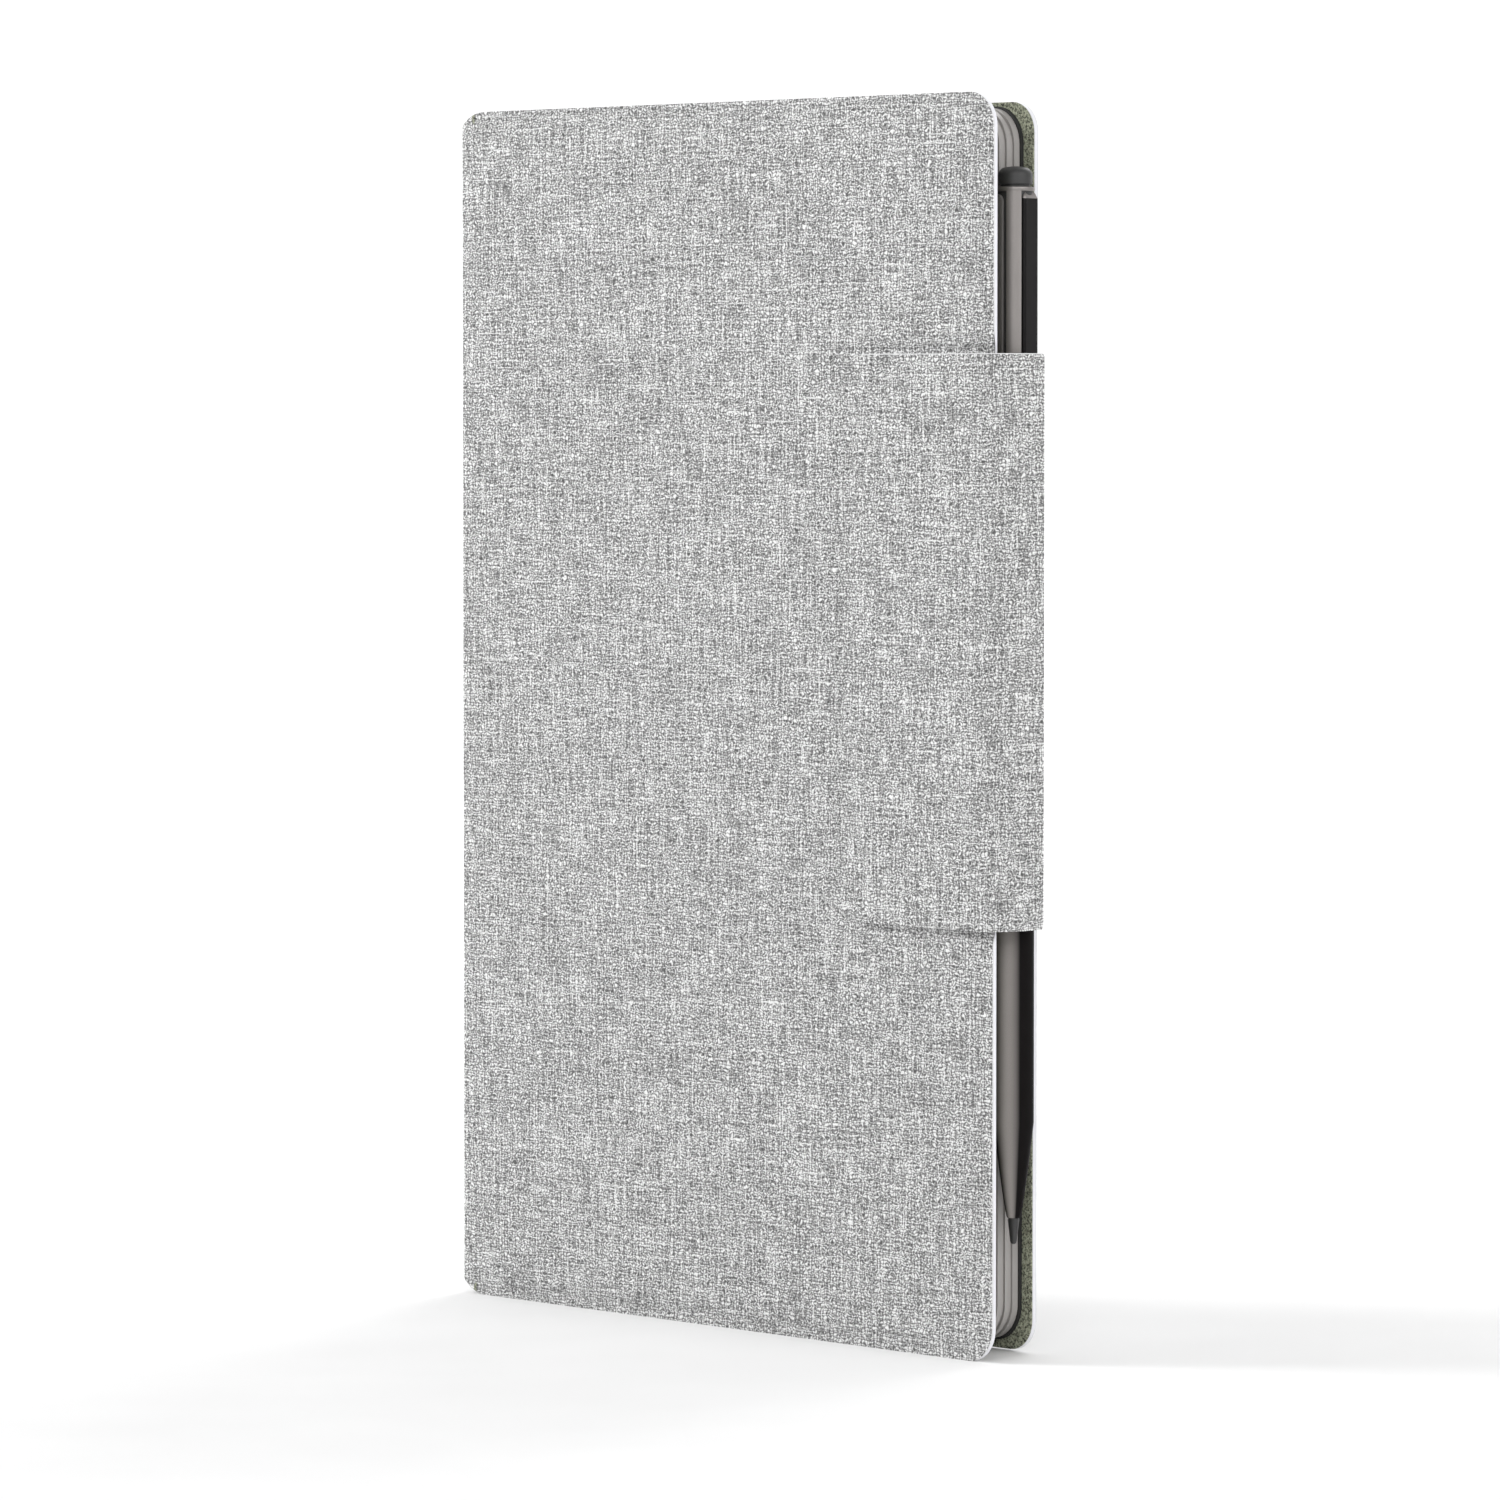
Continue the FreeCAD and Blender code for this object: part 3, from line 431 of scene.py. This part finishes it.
def curve_through(points, count):
    """Evenly spaced points on a smooth curve through the given ones."""
    padded = [points[0]] + list(points) + [points[-1]]
    dense = []
    for a, b, c, d in zip(padded, padded[1:], padded[2:], padded[3:]):
        for step in range(CURVE_STEPS):
            t = step / CURVE_STEPS
            dense.append(tuple(
                0.5 * (2 * q + (r - p) * t + (2 * p - 5 * q + 4 * r - s) * t * t
                       + (3 * q - p - 3 * r + s) * t ** 3)
                for p, q, r, s in zip(a, b, c, d)
            ))
    dense.append(tuple(points[-1]))
    lengths = [0]
    for p, q in zip(dense, dense[1:]):
        lengths.append(lengths[-1] + math.dist(p, q))
    found, k = [], 0
    for number in range(count):
        target = lengths[-1] * number / (count - 1)
        while k < len(lengths) - 2 and lengths[k + 1] < target:
            k += 1
        share = (target - lengths[k]) / max(1e-9, lengths[k + 1] - lengths[k])
        found.append(tuple(p + (q - p) * share for p, q in zip(dense[k], dense[k + 1])))
    return found


def offset_path(path, distances):
    """Points at the given distances to the left of a path's direction of travel, seen from above."""
    moved = []
    for number, (x, y) in enumerate(path):
        before, after = path[max(0, number - 1)], path[min(len(path) - 1, number + 1)]
        dx, dy = after[0] - before[0], after[1] - before[1]
        size = math.hypot(dx, dy)
        moved.append((x - dy / size * distances[number], y + dx / size * distances[number]))
    return moved


def swept_sheet(name, path, thickness, heights, materials, painted_highlight_top=False):
    """A sheet of cloth: an outline in X and Y, swept up Z between heights for each point."""
    inner = offset_path(path, thickness)
    outer_grid, inner_grid = [], []
    for (x, y), (u, v), levels in zip(path, inner, heights):
        outer_grid.append([(x, y, z) for z in levels])
        inner_grid.append([(u, v, z) for z in levels])
    return crease_rims(slab(name, outer_grid, inner_grid, materials, painted_highlight_top))


def ring_faces(rings, count):
    """Quads between closed rings of the same number of points."""
    faces = []
    for i in range(rings - 1):
        for k in range(count):
            a, b = i * count + k, i * count + (k + 1) % count
            faces.append((a, b, b + count, a + count))
    return faces


def turned(profile, centre, steps):
    """Rings of points about an upright axis, one for each (radius, z) of a profile."""
    points = []
    for radius, z in profile:
        for k in range(steps):
            angle = TURN * k / steps
            points.append((centre[0] + radius * math.cos(angle), centre[1] + radius * math.sin(angle), z))
    return points


def lathe(name, profile, centre, material, steps=64):
    """A turned piece from (radius, z) points, closed at both ends."""
    faces = ring_faces(len(profile), steps)
    faces.append(tuple(range(steps)))
    faces.append(tuple((len(profile) - 1) * steps + k for k in reversed(range(steps))))
    return crease_rims(piece(name, turned(profile, centre, steps), faces, [material]), 35)


CORNER_STEPS = 8


def rounded_outline(left, right, low, high, radius):
    """Points round a rectangle with rounded corners, in X and Z."""
    points = []
    corners = (
        (right - radius, high - radius, 0),
        (left + radius, high - radius, 1),
        (left + radius, low + radius, 2),
        (right - radius, low + radius, 3),
    )
    for x, z, quarter in corners:
        for step in range(CORNER_STEPS + 1):
            angle = (quarter + step / CORNER_STEPS) * math.pi / 2
            points.append((x + radius * math.cos(angle), z + radius * math.sin(angle)))
    return points


# in metres
JOIN_DISTANCE = 1e-6
# a face whose normal has less than this along Y belongs to the sheet's edge
FLAT_FACE = 0.8


def cut_sheet(name, outlines, front, back, soft, material, edge=None):
    """A flat sheet with holes and softened edges, upright between two depths."""
    curve = bpy.data.curves.new(name, "CURVE")
    curve.dimensions = "2D"
    curve.fill_mode = "BOTH"
    curve.extrude = ((back - front) / 2 - soft) * MM
    curve.bevel_depth = soft * MM
    curve.bevel_resolution = 2
    curve.offset = -soft * MM
    for outline in outlines:
        spline = curve.splines.new("POLY")
        spline.points.add(len(outline) - 1)
        for point, (x, z) in zip(spline.points, outline):
            point.co = (x * MM, z * MM, 0, 1)
        spline.use_cyclic_u = True
    holder = add(name + "_curve", curve)
    bpy.context.view_layer.update()
    mesh = bpy.data.meshes.new_from_object(holder)
    mesh.name = name
    bpy.data.objects.remove(holder)
    middle = (front + back) / 2
    for vertex in mesh.vertices:
        flat = vertex.co.copy()
        vertex.co = place(flat.x / MM, middle + flat.z / MM, flat.y / MM)
    mesh.materials.clear()
    mesh.materials.append(material)
    mesh.materials.append(edge or material)
    face_outward(mesh, JOIN_DISTANCE)
    for polygon in mesh.polygons:
        polygon.use_smooth = True
        polygon.material_index = 1 if abs(polygon.normal.y) < FLAT_FACE else 0
    return crease_rims(add(name, mesh))


def settle(thing, body, slot, *nodes):
    """The piece rides on a body and stands for CAD nodes; the slot it is given is not used."""
    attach(thing, body)
    if nodes:
        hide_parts(*nodes)
    return thing


# ------------------------------------------------------------------ front cover

# the cloth is pressed flat along the cover's edges and stands up over the board's middle
BORDER_RISE = 0.08
PANEL_RISE = 0.8
BORDER = (1.3, 3.8)
LEFT_CORNER = (6.6, 3.9)
RIGHT_RADIUS = 5.5
FOLD_OUT = SPINE_OUT - 0.4
FOLD_START = SPINE_OUT + 3.4
(FLAP_LEFT, _, FLAP_LOW), (_, _, FLAP_HIGH) = case_box("flap_panel_fabric")
# the dip in the cloth beside the flap, and the seams above and below it
DIP_DEPTH = 0.92
DIP_WIDTH = 1.8
DIP_MIDDLE = FLAP_LEFT - 2.8
SEAM_DEPTH = 0.7
SEAM_WIDTH = 0.7
SEAM_LINES = (FLAP_LOW - 0.6, FLAP_HIGH + 0.6)
# rows of the mesh across each seam
SEAM_STEPS = (-1.4, -0.9, -0.4, 0, 0.4, 0.9, 1.4)
FRONT_CLOTH_BACK = 0.24
CLOTH_ROWS = 60


def corner_drop(reach, width, height):
    """How far a rounded corner lies below the full height, at a distance in from the side."""
    if reach >= width:
        return 0.0
    return height * (1 - math.sqrt(1 - (1 - max(0, reach) / width) ** 2))


def squeezed(levels, low, high, drop):
    """Heights moved to fit between the two ends, each brought in by the drop."""
    share = (high - low - 2 * drop) / (high - low)
    return [low + drop + (z - low) * share for z in levels]


def cover_drop(x):
    """How far the covers' outline is rounded off at one X."""
    return max(
        corner_drop(x - FOLD_OUT, *LEFT_CORNER),
        corner_drop(-x, RIGHT_RADIUS, RIGHT_RADIUS),
    )


def cover_relief(x, z):
    """How far the front cover's fabric stands out: a pressed border round a raised panel."""
    edge = inward(x, z, SPINE_OUT, 0, 0, COVER_HIGH, LEFT_CORNER[1], RIGHT_RADIUS)
    rise = BORDER_RISE * smooth_step(edge, 0, 0.35) + PANEL_RISE * smooth_step(edge, *BORDER)
    beside = math.exp(-((x - DIP_MIDDLE) / DIP_WIDTH) ** 2)
    within = smooth_step(z, FLAP_LOW - 1, FLAP_LOW + 6) * (1 - smooth_step(z, FLAP_HIGH - 6, FLAP_HIGH + 1))
    along = smooth_step(x, FLAP_LEFT - 1, FLAP_LEFT + 5)
    seams = sum(math.exp(-((z - line) / SEAM_WIDTH) ** 2) for line in SEAM_LINES)
    return rise - DIP_DEPTH * beside * within - SEAM_DEPTH * along * seams


# distances in from an edge of the cloth where its mesh has rows
COVER_EDGES = (0, 0.2, 0.45, 0.9, 1.4, 1.9, 2.4, 2.9, 3.4, 3.9, 4.6, 5.4)
FOLD_RISE = cover_relief(FOLD_START, COVER_HIGH / 2)


def front_cover():
    """The front cover's cloth, from where the fold ends to the free edge."""
    across = [x for x in spaced(SPINE_OUT, 0, COVER_EDGES, 64) if x > FOLD_START]
    across.insert(0, FOLD_START)
    seams = [line + step for line in SEAM_LINES for step in SEAM_STEPS]
    levels = sorted(spaced(0, COVER_HIGH, COVER_EDGES, CLOTH_ROWS) + seams)
    outer, inner = [], []
    for x in across:
        heights = squeezed(levels, 0, COVER_HIGH, cover_drop(x))
        outer.append([(x, -cover_relief(x, z), z) for z in heights])
        inner.append([(x, FRONT_CLOTH_BACK, z) for z in heights])
    skin = crease_rims(slab("front_skin", outer, inner, [FABRIC, FABRIC, FABRIC_EDGE]), 60)
    settle(skin, "front", "cover_fabric", "front_cover_fabric")


FOLD_THICKNESS = 0.6
FOLD_COLUMNS = 26


def fold(name, path, low, high, inner_side):
    """Cloth that turns round one edge of the spine from a cover's face, with lining inside.

    The inner side is 1 to the left of the path's direction of travel and -1 to its right.
    """
    line = curve_through(path, FOLD_COLUMNS)
    inner = offset_path(line, [inner_side * FOLD_THICKNESS] * len(line))
    levels = spaced(low, high, COVER_EDGES, CLOTH_ROWS)
    outer_grid, inner_grid = [], []
    for (x, y), (u, v) in zip(line, inner):
        heights = squeezed(levels, low, high, cover_drop(x))
        sides = []
        for z in heights:
            share = cover_relief(FOLD_START, z) / FOLD_RISE
            sides.append(y * share if y < 0 else y)
        outer_grid.append([(x, side, z) for side, z in zip(sides, heights)])
        inner_grid.append([(u, v, z) for z in heights])
    thing = crease_rims(slab(name, outer_grid, inner_grid, [FABRIC, LINING, FABRIC]))
    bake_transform(thing)


SPINE_CLOTH = 0.4
SPINE_RAISED = 0.35


def spine():
    """Outer cloth of the spine, and the fold on each side of it."""
    x = SPINE_OUT - SPINE_RAISED
    front_path = [
        (FOLD_START, -FOLD_RISE),
        (SPINE_OUT + 1.3, -0.42),
        (SPINE_OUT + 0.15, -0.1),
        (FOLD_OUT - 0.02, 0.75),
        (x, 1.9),
        (x, 3.0),
    ]
    fold("front_fold", front_path, 0, COVER_HIGH, -1)
    back = CASE_DEPTH
    rear_path = [
        (FOLD_START, back),
        (SPINE_OUT + 1.3, back),
        (SPINE_OUT + 0.2, back - 0.35),
        (FOLD_OUT - 0.02, back - 1.1),
        (x, back - 2.1),
        (x, back - 3.2),
    ]
    fold("rear_fold", rear_path, REAR_LOW, REAR_HIGH, 1)
    start, end = front_path[-1][1], rear_path[-1][1]
    line = [(x, start + (end - start) * k / 8) for k in range(9)]
    levels = spaced(SPINE_LOW - SPINE_CLOTH, SPINE_HIGH + SPINE_CLOTH, (0, 0.3, 1.0), 40)
    inward_by = [-SPINE_CLOTH] * len(line)
    skin = swept_sheet("spine_skin", line, inward_by, [levels] * len(line), [FABRIC, LINING, FABRIC])
    settle(skin, "spine", "cover_fabric", "spine_fabric")


# ------------------------------------------------------------------ flap

FLAP_THIN = 0.25
FLAP_THICK = 0.80
FLAP_CORNER = 2.3
FLAP_END_CORNER = 0.4


def flap():
    """One piece of cloth from the front cover round the free edge, lined inside."""
    path = curve_through(
        [
            (FLAP_LEFT, -0.65),
            (FLAP_LEFT + 1.4, -1.0),
            (FLAP_LEFT + 4.0, -1.42),
            (-20, -1.46),
            (-12, -1.5),
            (-7, -1.75),
            (-3, -1.95),
            (0.2, -1.25),
            (2.0, 0.7),
            (2.6, 3.4),
            (2.4, 6.4),
            (1.9, 9.3),
        ],
        120,
    )
    levels = spaced(FLAP_LOW, FLAP_HIGH, (0, 0.15, 0.4, 0.9, 1.6, 2.5), 36)
    heights, thickness, travelled = [], [], 0.0
    total = sum(math.dist(p, q) for p, q in zip(path, path[1:]))
    for number, point in enumerate(path):
        if number:
            travelled += math.dist(path[number - 1], point)
        drop = max(
            corner_drop(travelled, FLAP_CORNER, FLAP_CORNER),
            corner_drop(total - travelled, FLAP_END_CORNER, FLAP_END_CORNER),
        )
        heights.append(squeezed(levels, FLAP_LOW, FLAP_HIGH, drop))
        thickness.append(FLAP_THIN + (FLAP_THICK - FLAP_THIN) * smooth_step(travelled, 0, 4))
    cloths = [FABRIC, LINING, FABRIC_EDGE]
    # the flap's top row of quads takes the pale edge colour: a painted highlight along its top edge
    sheet = swept_sheet("flap_sheet", path, thickness, heights, cloths, painted_highlight_top=True)
    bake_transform(sheet)
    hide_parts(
        "flap_panel_fabric",
        "flap_panel_board",
        "flap_strip_fabric",
        "flap_strip_board",
        "flap_strip_lining",
        "flap_magnets",
    )


# ------------------------------------------------------------------ rear cover

REAR_RADIUS = 5.0
HOLE_RADIUS = 2.75
STAND_GAP = 0.4
SOFT_EDGE = 0.1
STAND_LINING = 0.12


def rear_outline():
    """The rear cover's cloth, from where the fold ends to the free edge."""
    right = case_box("rear_cover_board")[1][0]
    corner_end = FOLD_OUT + LEFT_CORNER[0]
    shares = [k / CORNER_STEPS for k in range(CORNER_STEPS + 1)]
    bottom = []
    for share in shares:
        x = FOLD_START + (corner_end - FOLD_START) * share
        bottom.append((x, REAR_LOW + cover_drop(x)))
    side = []
    for quarter, z in ((-1, REAR_LOW + REAR_RADIUS), (0, REAR_HIGH - REAR_RADIUS)):
        for share in shares:
            angle = (quarter + share) * math.pi / 2
            x = right - REAR_RADIUS + REAR_RADIUS * math.cos(angle)
            side.append((x, z + REAR_RADIUS * math.sin(angle)))
    top = [(x, REAR_HIGH + REAR_LOW - z) for x, z in reversed(bottom)]
    return bottom + side + top


def outline_of(node, grow, radius):
    """A rounded outline round a CAD node's box, grown by a margin."""
    (left, _, low), (right, _, high) = case_box(node)
    return rounded_outline(left - grow, right + grow, low - grow, high + grow, radius)


def stand_opening():
    """The opening that the kickstand folds into, as far as its hinge."""
    (left, _, low), (_, _, high) = case_box("kickstand_plate")
    right = case_box("cover_knuckles")[1][0]
    return rounded_outline(left - STAND_GAP, right, low - STAND_GAP, high + STAND_GAP, HOLE_RADIUS)


def cloth_over(node, name, outlines, material, edge=None):
    """A cut sheet as deep as a CAD node."""
    (_, front, _), (_, back, _) = case_box(node)
    return cut_sheet(name, outlines, front, back, SOFT_EDGE, material, edge)


def rear_cover():
    """The rear cover's cloth and lining, with openings for the camera and the stand."""
    outlines = [rear_outline(), outline_of("camera_bezel", 0.0, HOLE_RADIUS), stand_opening()]
    skin = cloth_over("rear_cover_fabric", "rear_skin", outlines, FABRIC, FABRIC_EDGE)
    settle(skin, "rear", "cover_fabric", "rear_cover_fabric")
    lining = cloth_over("rear_cover_lining", "rear_lining", outlines, LINING)
    settle(lining, "rear", "cover_lining", "rear_cover_lining")


def kickstand():
    """The stand's cloth, its lining, and the pad it rests on."""
    outline = outline_of("kickstand_fabric", 0.0, HOLE_RADIUS)
    skin = cloth_over("kickstand_fabric", "kickstand_skin", [outline], FABRIC)
    settle(skin, "kickstand", "cover_fabric", "kickstand_fabric")
    front = case_box("kickstand_plate")[0][1]
    outline = outline_of("kickstand_plate", -STAND_GAP, HOLE_RADIUS - 0.25)
    lining = cut_sheet("kickstand_lining", [outline], front - STAND_LINING, front + 0.02, 0.05, LINING)
    settle(lining, "kickstand", "cover_lining")
    outline = outline_of("kickstand_seat", 0.0, HOLE_RADIUS)
    seat = cloth_over("kickstand_seat", "stand_seat_pad", [outline], LINING)
    settle(seat, "rear", "cover_lining", "kickstand_seat")


def front_lining():
    """The front cover's lining, round the keyboard."""
    outline = outline_of("front_cover_lining", 0.0, 4.0)
    sheet = cloth_over("front_cover_lining", "front_lining", [outline], LINING)
    settle(sheet, "front", "cover_lining", "front_cover_lining")


# ------------------------------------------------------------------ stylus

RAIL_STEPS = 6
# how far a rail's sides run into the core
RAIL_ROOT = 0.3


def rail(name, centre, outline, core, low, high, corner, slope, material):
    """A raised strip along the stylus, with rounded top corners.

    The outline is (radius, angle) round its outer side, which leans in by the slope at the top.
    """
    low_angle, high_angle = outline[0][1], outline[-1][1]
    rows = [(low, 0.0, 0.0)]
    for step in range(RAIL_STEPS + 1):
        turn = math.pi / 2 * step / RAIL_STEPS
        rows.append((high - corner * (1 - math.sin(turn)), corner * (1 - math.cos(turn)), step / RAIL_STEPS))
    verts = []
    for z, shift, share in rows:
        turn = math.degrees(shift / core)
        section = []
        for radius, angle in outline:
            angle = min(max(angle, low_angle + turn), high_angle - turn)
            section.append((radius - slope * share, angle))
        section += [(core - RAIL_ROOT, high_angle - turn), (core - RAIL_ROOT, low_angle + turn)]
        for radius, angle in section:
            radians = math.radians(angle)
            verts.append((centre[0] + radius * math.cos(radians), centre[1] + radius * math.sin(radians), z))
    count = len(outline) + 2
    faces = ring_faces(len(rows), count)
    faces.append(tuple(reversed(range(count))))
    faces.append(tuple(range((len(rows) - 1) * count, len(rows) * count)))
    return crease_rims(piece(name, verts, faces, [material]), 24)


def lighten_top(thing, height):
    """Give the part above a height the stylus's lighter metal: the collar under the cap takes it as its own
    colour, the panel's top chamfer as a painted highlight.
    """
    thing.data.materials.append(PEN)
    for polygon in thing.data.polygons:
        if polygon.center.z > height * MM:
            polygon.material_index = 1


def arc(radius, start, end, steps=10):
    """Points (radius, angle) round part of a circle."""
    return [(radius, start + (end - start) * k / steps) for k in range(steps + 1)]


# degrees round the stylus from X, each from one side to the other
FACE_ANGLES = (-70, -25)
STRIP_ANGLES = (-142, -84)
PANEL_ANGLES = (-11, 48)
# the flat panel stands out from the barrel by these at its two sides
PANEL_LIFT = (0.1, 0.35)
GROOVE = 0.45
CONE_RADIUS = 1.08
CONE_STEPS = 14
CONE_EASE = 0.80
CAP_ROUND = 1.5
CAP_STEPS = 8


def panel_outline(radius):
    """The flat panel's outer side: a straight line between two angles, with a softened edge."""
    first, last = (math.radians(angle) for angle in PANEL_ANGLES)
    start, end = (radius + lift for lift in PANEL_LIFT)
    side = [(radius, PANEL_ANGLES[0] - 9), (radius + 0.05, PANEL_ANGLES[0] - 7), (start, PANEL_ANGLES[0])]
    for share in (0.25, 0.5, 0.75):
        x = start * math.cos(first) * (1 - share) + end * math.cos(last) * share
        y = start * math.sin(first) * (1 - share) + end * math.sin(last) * share
        side.append((math.hypot(x, y), math.degrees(math.atan2(y, x))))
    return side + [(end, PANEL_ANGLES[1]), (radius, PANEL_ANGLES[1] + 3)]


def stylus():
    """The stylus from nib to cap, and the strips along its upper part."""
    (left, front, _), (right, back, shoulder) = case_box("stylus_barrel")
    centre = ((left + right) / 2, (front + back) / 2)
    radius = (right - left) / 2
    core = radius - GROOVE
    tip = case_box("stylus_nib")[0][2]
    nib_top = case_box("stylus_cone")[0][2]
    cone_top = case_box("stylus_cone")[1][2]
    cap_top = case_box("stylus_cap")[1][2]
    neck = case_box("stylus_rails")[0][2] + 2
    rail_top = shoulder - 0.8

    # the cone eases into the barrel on a long gentle curve
    base = nib_top + 0.15
    barrel = [(CONE_RADIUS - 0.06, nib_top), (CONE_RADIUS, base)]
    for step in range(1, CONE_STEPS + 1):
        share = step / CONE_STEPS
        spread = (radius - CONE_RADIUS) * share ** CONE_EASE
        barrel.append((CONE_RADIUS + spread, base + (cone_top - nib_top) * share))
    barrel += [(radius, cone_top + 6), (radius, neck - 0.3), (radius - 0.3, neck)]
    # the lower barrel carries the painted highlight band
    settle(lathe("stylus_tube", barrel, centre, PEN_TUBE_PAINTED_HIGHLIGHT), "stylus", "stylus_body", "stylus_cone")

    collar = [(core - 0.4, neck - 2), (core, neck - 2), (core, rail_top), (radius - 0.12, rail_top + 0.1)]
    collar += [(radius - 0.05, rail_top + 0.25), (radius - 0.12, shoulder - 0.12), (core - 0.2, shoulder)]
    tube = lathe("stylus_core", collar, centre, PEN_CAP)
    lighten_top(tube, rail_top + 0.02)
    settle(tube, "stylus", "stylus_body", "stylus_barrel")

    nib = [(0.22, tip), (0.42, tip + 0.12), (0.55, tip + 0.5), (0.92, nib_top - 0.45), (0.92, nib_top - 0.2)]
    nib += [(0.85, nib_top - 0.18), (0.85, nib_top + 0.1)]
    settle(lathe("stylus_point", nib, centre, PEN_CAP), "stylus", "stylus_black", "stylus_nib")

    base = shoulder + 0.3
    cap_radius = radius - GROOVE
    cap = [(cap_radius - 0.4, base - 0.6), (cap_radius - 0.4, base), (cap_radius - 0.1, base)]
    cap_shoulder = cap_top - CAP_ROUND
    cap += [(cap_radius, base + 0.12), (cap_radius, cap_shoulder)]
    for step in range(1, CAP_STEPS + 1):
        angle = math.pi / 2 * step / CAP_STEPS
        cap.append((cap_radius - CAP_ROUND * (1 - math.cos(angle)), cap_shoulder + 1.4 * math.sin(angle)))
    cap.append((0.3, cap_top))
    settle(lathe("stylus_end_cap", cap, centre, PEN_CAP), "stylus", "stylus_black", "stylus_cap")

    low = neck - 0.2
    outline = arc(radius - 0.08, *FACE_ANGLES)
    face = rail("stylus_face", centre, outline, core, low, rail_top + 0.1, 0.01, 0, PEN)
    settle(face, "stylus", "stylus_body")
    outline = arc(radius, *STRIP_ANGLES)
    # the strip takes the lighter copy of the stylus metal, painted light
    strip = rail("stylus_strip", centre, outline, core, low, rail_top - 0.45, 1.2, 0, PEN_STRIP_PAINTED_LIGHT)
    settle(strip, "stylus", "stylus_body")
    outline = panel_outline(radius)
    panel = rail("stylus_panel", centre, outline, core, low, rail_top - 0.1, 1.0, 0.7, PEN_PANEL)
    # the panel's rounded top takes the lighter metal: a painted highlight
    lighten_top(panel, rail_top - 1.0)
    settle(panel, "stylus", "stylus_body", "stylus_rails")


# ------------------------------------------------------------------ studio

# in metres, in the frame: the floor's flat radius, the radius of its sweep, and its full height
FLOOR_RADIUS = 1.7
SWEEP_RADIUS = 0.8
SWEEP_STEPS = 12
FLOOR_HEIGHT = 1.5
FLOOR_STEPS = 96
WORLD_STRENGTH = 0.52


def pale_floor():
    """A pale floor that sweeps up all round."""
    profile = [(0.001, 0.0), (FLOOR_RADIUS, 0.0)]
    for step in range(1, SWEEP_STEPS + 1):
        angle = math.pi / 2 * step / SWEEP_STEPS
        run, rise = SWEEP_RADIUS * math.sin(angle), SWEEP_RADIUS * (1 - math.cos(angle))
        profile.append((FLOOR_RADIUS + run, rise))
    profile.append((FLOOR_RADIUS + SWEEP_RADIUS, FLOOR_HEIGHT))
    mesh = bpy.data.meshes.new("floor")
    mesh.from_pydata(turned(profile, (0, 0), FLOOR_STEPS), [], ring_faces(len(profile), FLOOR_STEPS))
    for polygon in mesh.polygons:
        polygon.use_smooth = True
    shader = Shader("pale_floor", roughness=0.9, specular=0.1)
    grain = shader.noise(shader.place, (0.02, 0.02, 0.02)).outputs["Fac"]
    shader.colour(shader.ramp(grain, (0.3, 0.90), (0.7, 0.93)))
    mesh.materials.append(shader.material)
    add("floor", mesh)


def lights():
    """An even white surround and soft boxes: the key light comes from the upper left."""
    world = bpy.data.worlds.new("studio")
    world.use_nodes = True
    surround = world.node_tree.nodes["Background"]
    surround.inputs["Color"].default_value = (1, 1, 1, 1)
    surround.inputs["Strength"].default_value = WORLD_STRENGTH
    bpy.context.scene.world = world

    target = (0, 0, 0.1)
    soft_box("key", (-1.07, -0.87, 1.05), target, 0.6, 13.5)
    soft_box("front", (1.16, -1.04, 0.90), target, 0.9, 4.2)
    soft_box("strip", (0.98, -1.25, 0.55), target, 0.35, 1)
    soft_box("side", (1.45, 0.05, 0.75), target, 0.9, 6)
    soft_box("back", (-0.45, 1.25, 1.25), target, 0.9, 9)
    soft_box("backdrop", (-0.5, 0.45, 1.3), (-1.7, 1.54, 0.3), 1.2, 14)


def soft_box(name, where, target, width, power):
    """A square area light that faces its target."""
    light = bpy.data.lights.new(name, "AREA")
    light.shape = "SQUARE"
    light.size = width
    light.energy = power
    lamp = add(name, light)
    lamp.location = where
    aim = Vector(target) - lamp.location
    lamp.rotation_euler = aim.to_track_quat("-Z", "Y").to_euler()


# the view: angles round and above the case, distance in metres, aim in case coordinates
CAMERA_AZIMUTH = math.radians(48.31)
CAMERA_ELEVATION = math.radians(2.676)
CAMERA_DISTANCE = 1.2634
CAMERA_AIM = (-57.61, 0.0, 95.29)
LENS = 185.7
SENSOR_WIDTH = 36


def camera():
    """A long lens, a little above the case's middle, that sees the front and the free edge."""
    back = Vector((
        math.sin(CAMERA_AZIMUTH) * math.cos(CAMERA_ELEVATION),
        -math.cos(CAMERA_AZIMUTH) * math.cos(CAMERA_ELEVATION),
        math.sin(CAMERA_ELEVATION),
    ))
    data = bpy.data.cameras.new("camera")
    data.lens = LENS
    data.sensor_width = SENSOR_WIDTH
    eye = add("camera", data)
    eye.location = place(*CAMERA_AIM) + back * CAMERA_DISTANCE
    eye.rotation_euler = (-back).to_track_quat("-Z", "Y").to_euler()
    bpy.context.scene.camera = eye
    bpy.context.scene.view_settings.view_transform = "Standard"


front_cover()
spine()
flap()
rear_cover()
kickstand()
front_lining()
stylus()
pale_floor()
lights()
camera()
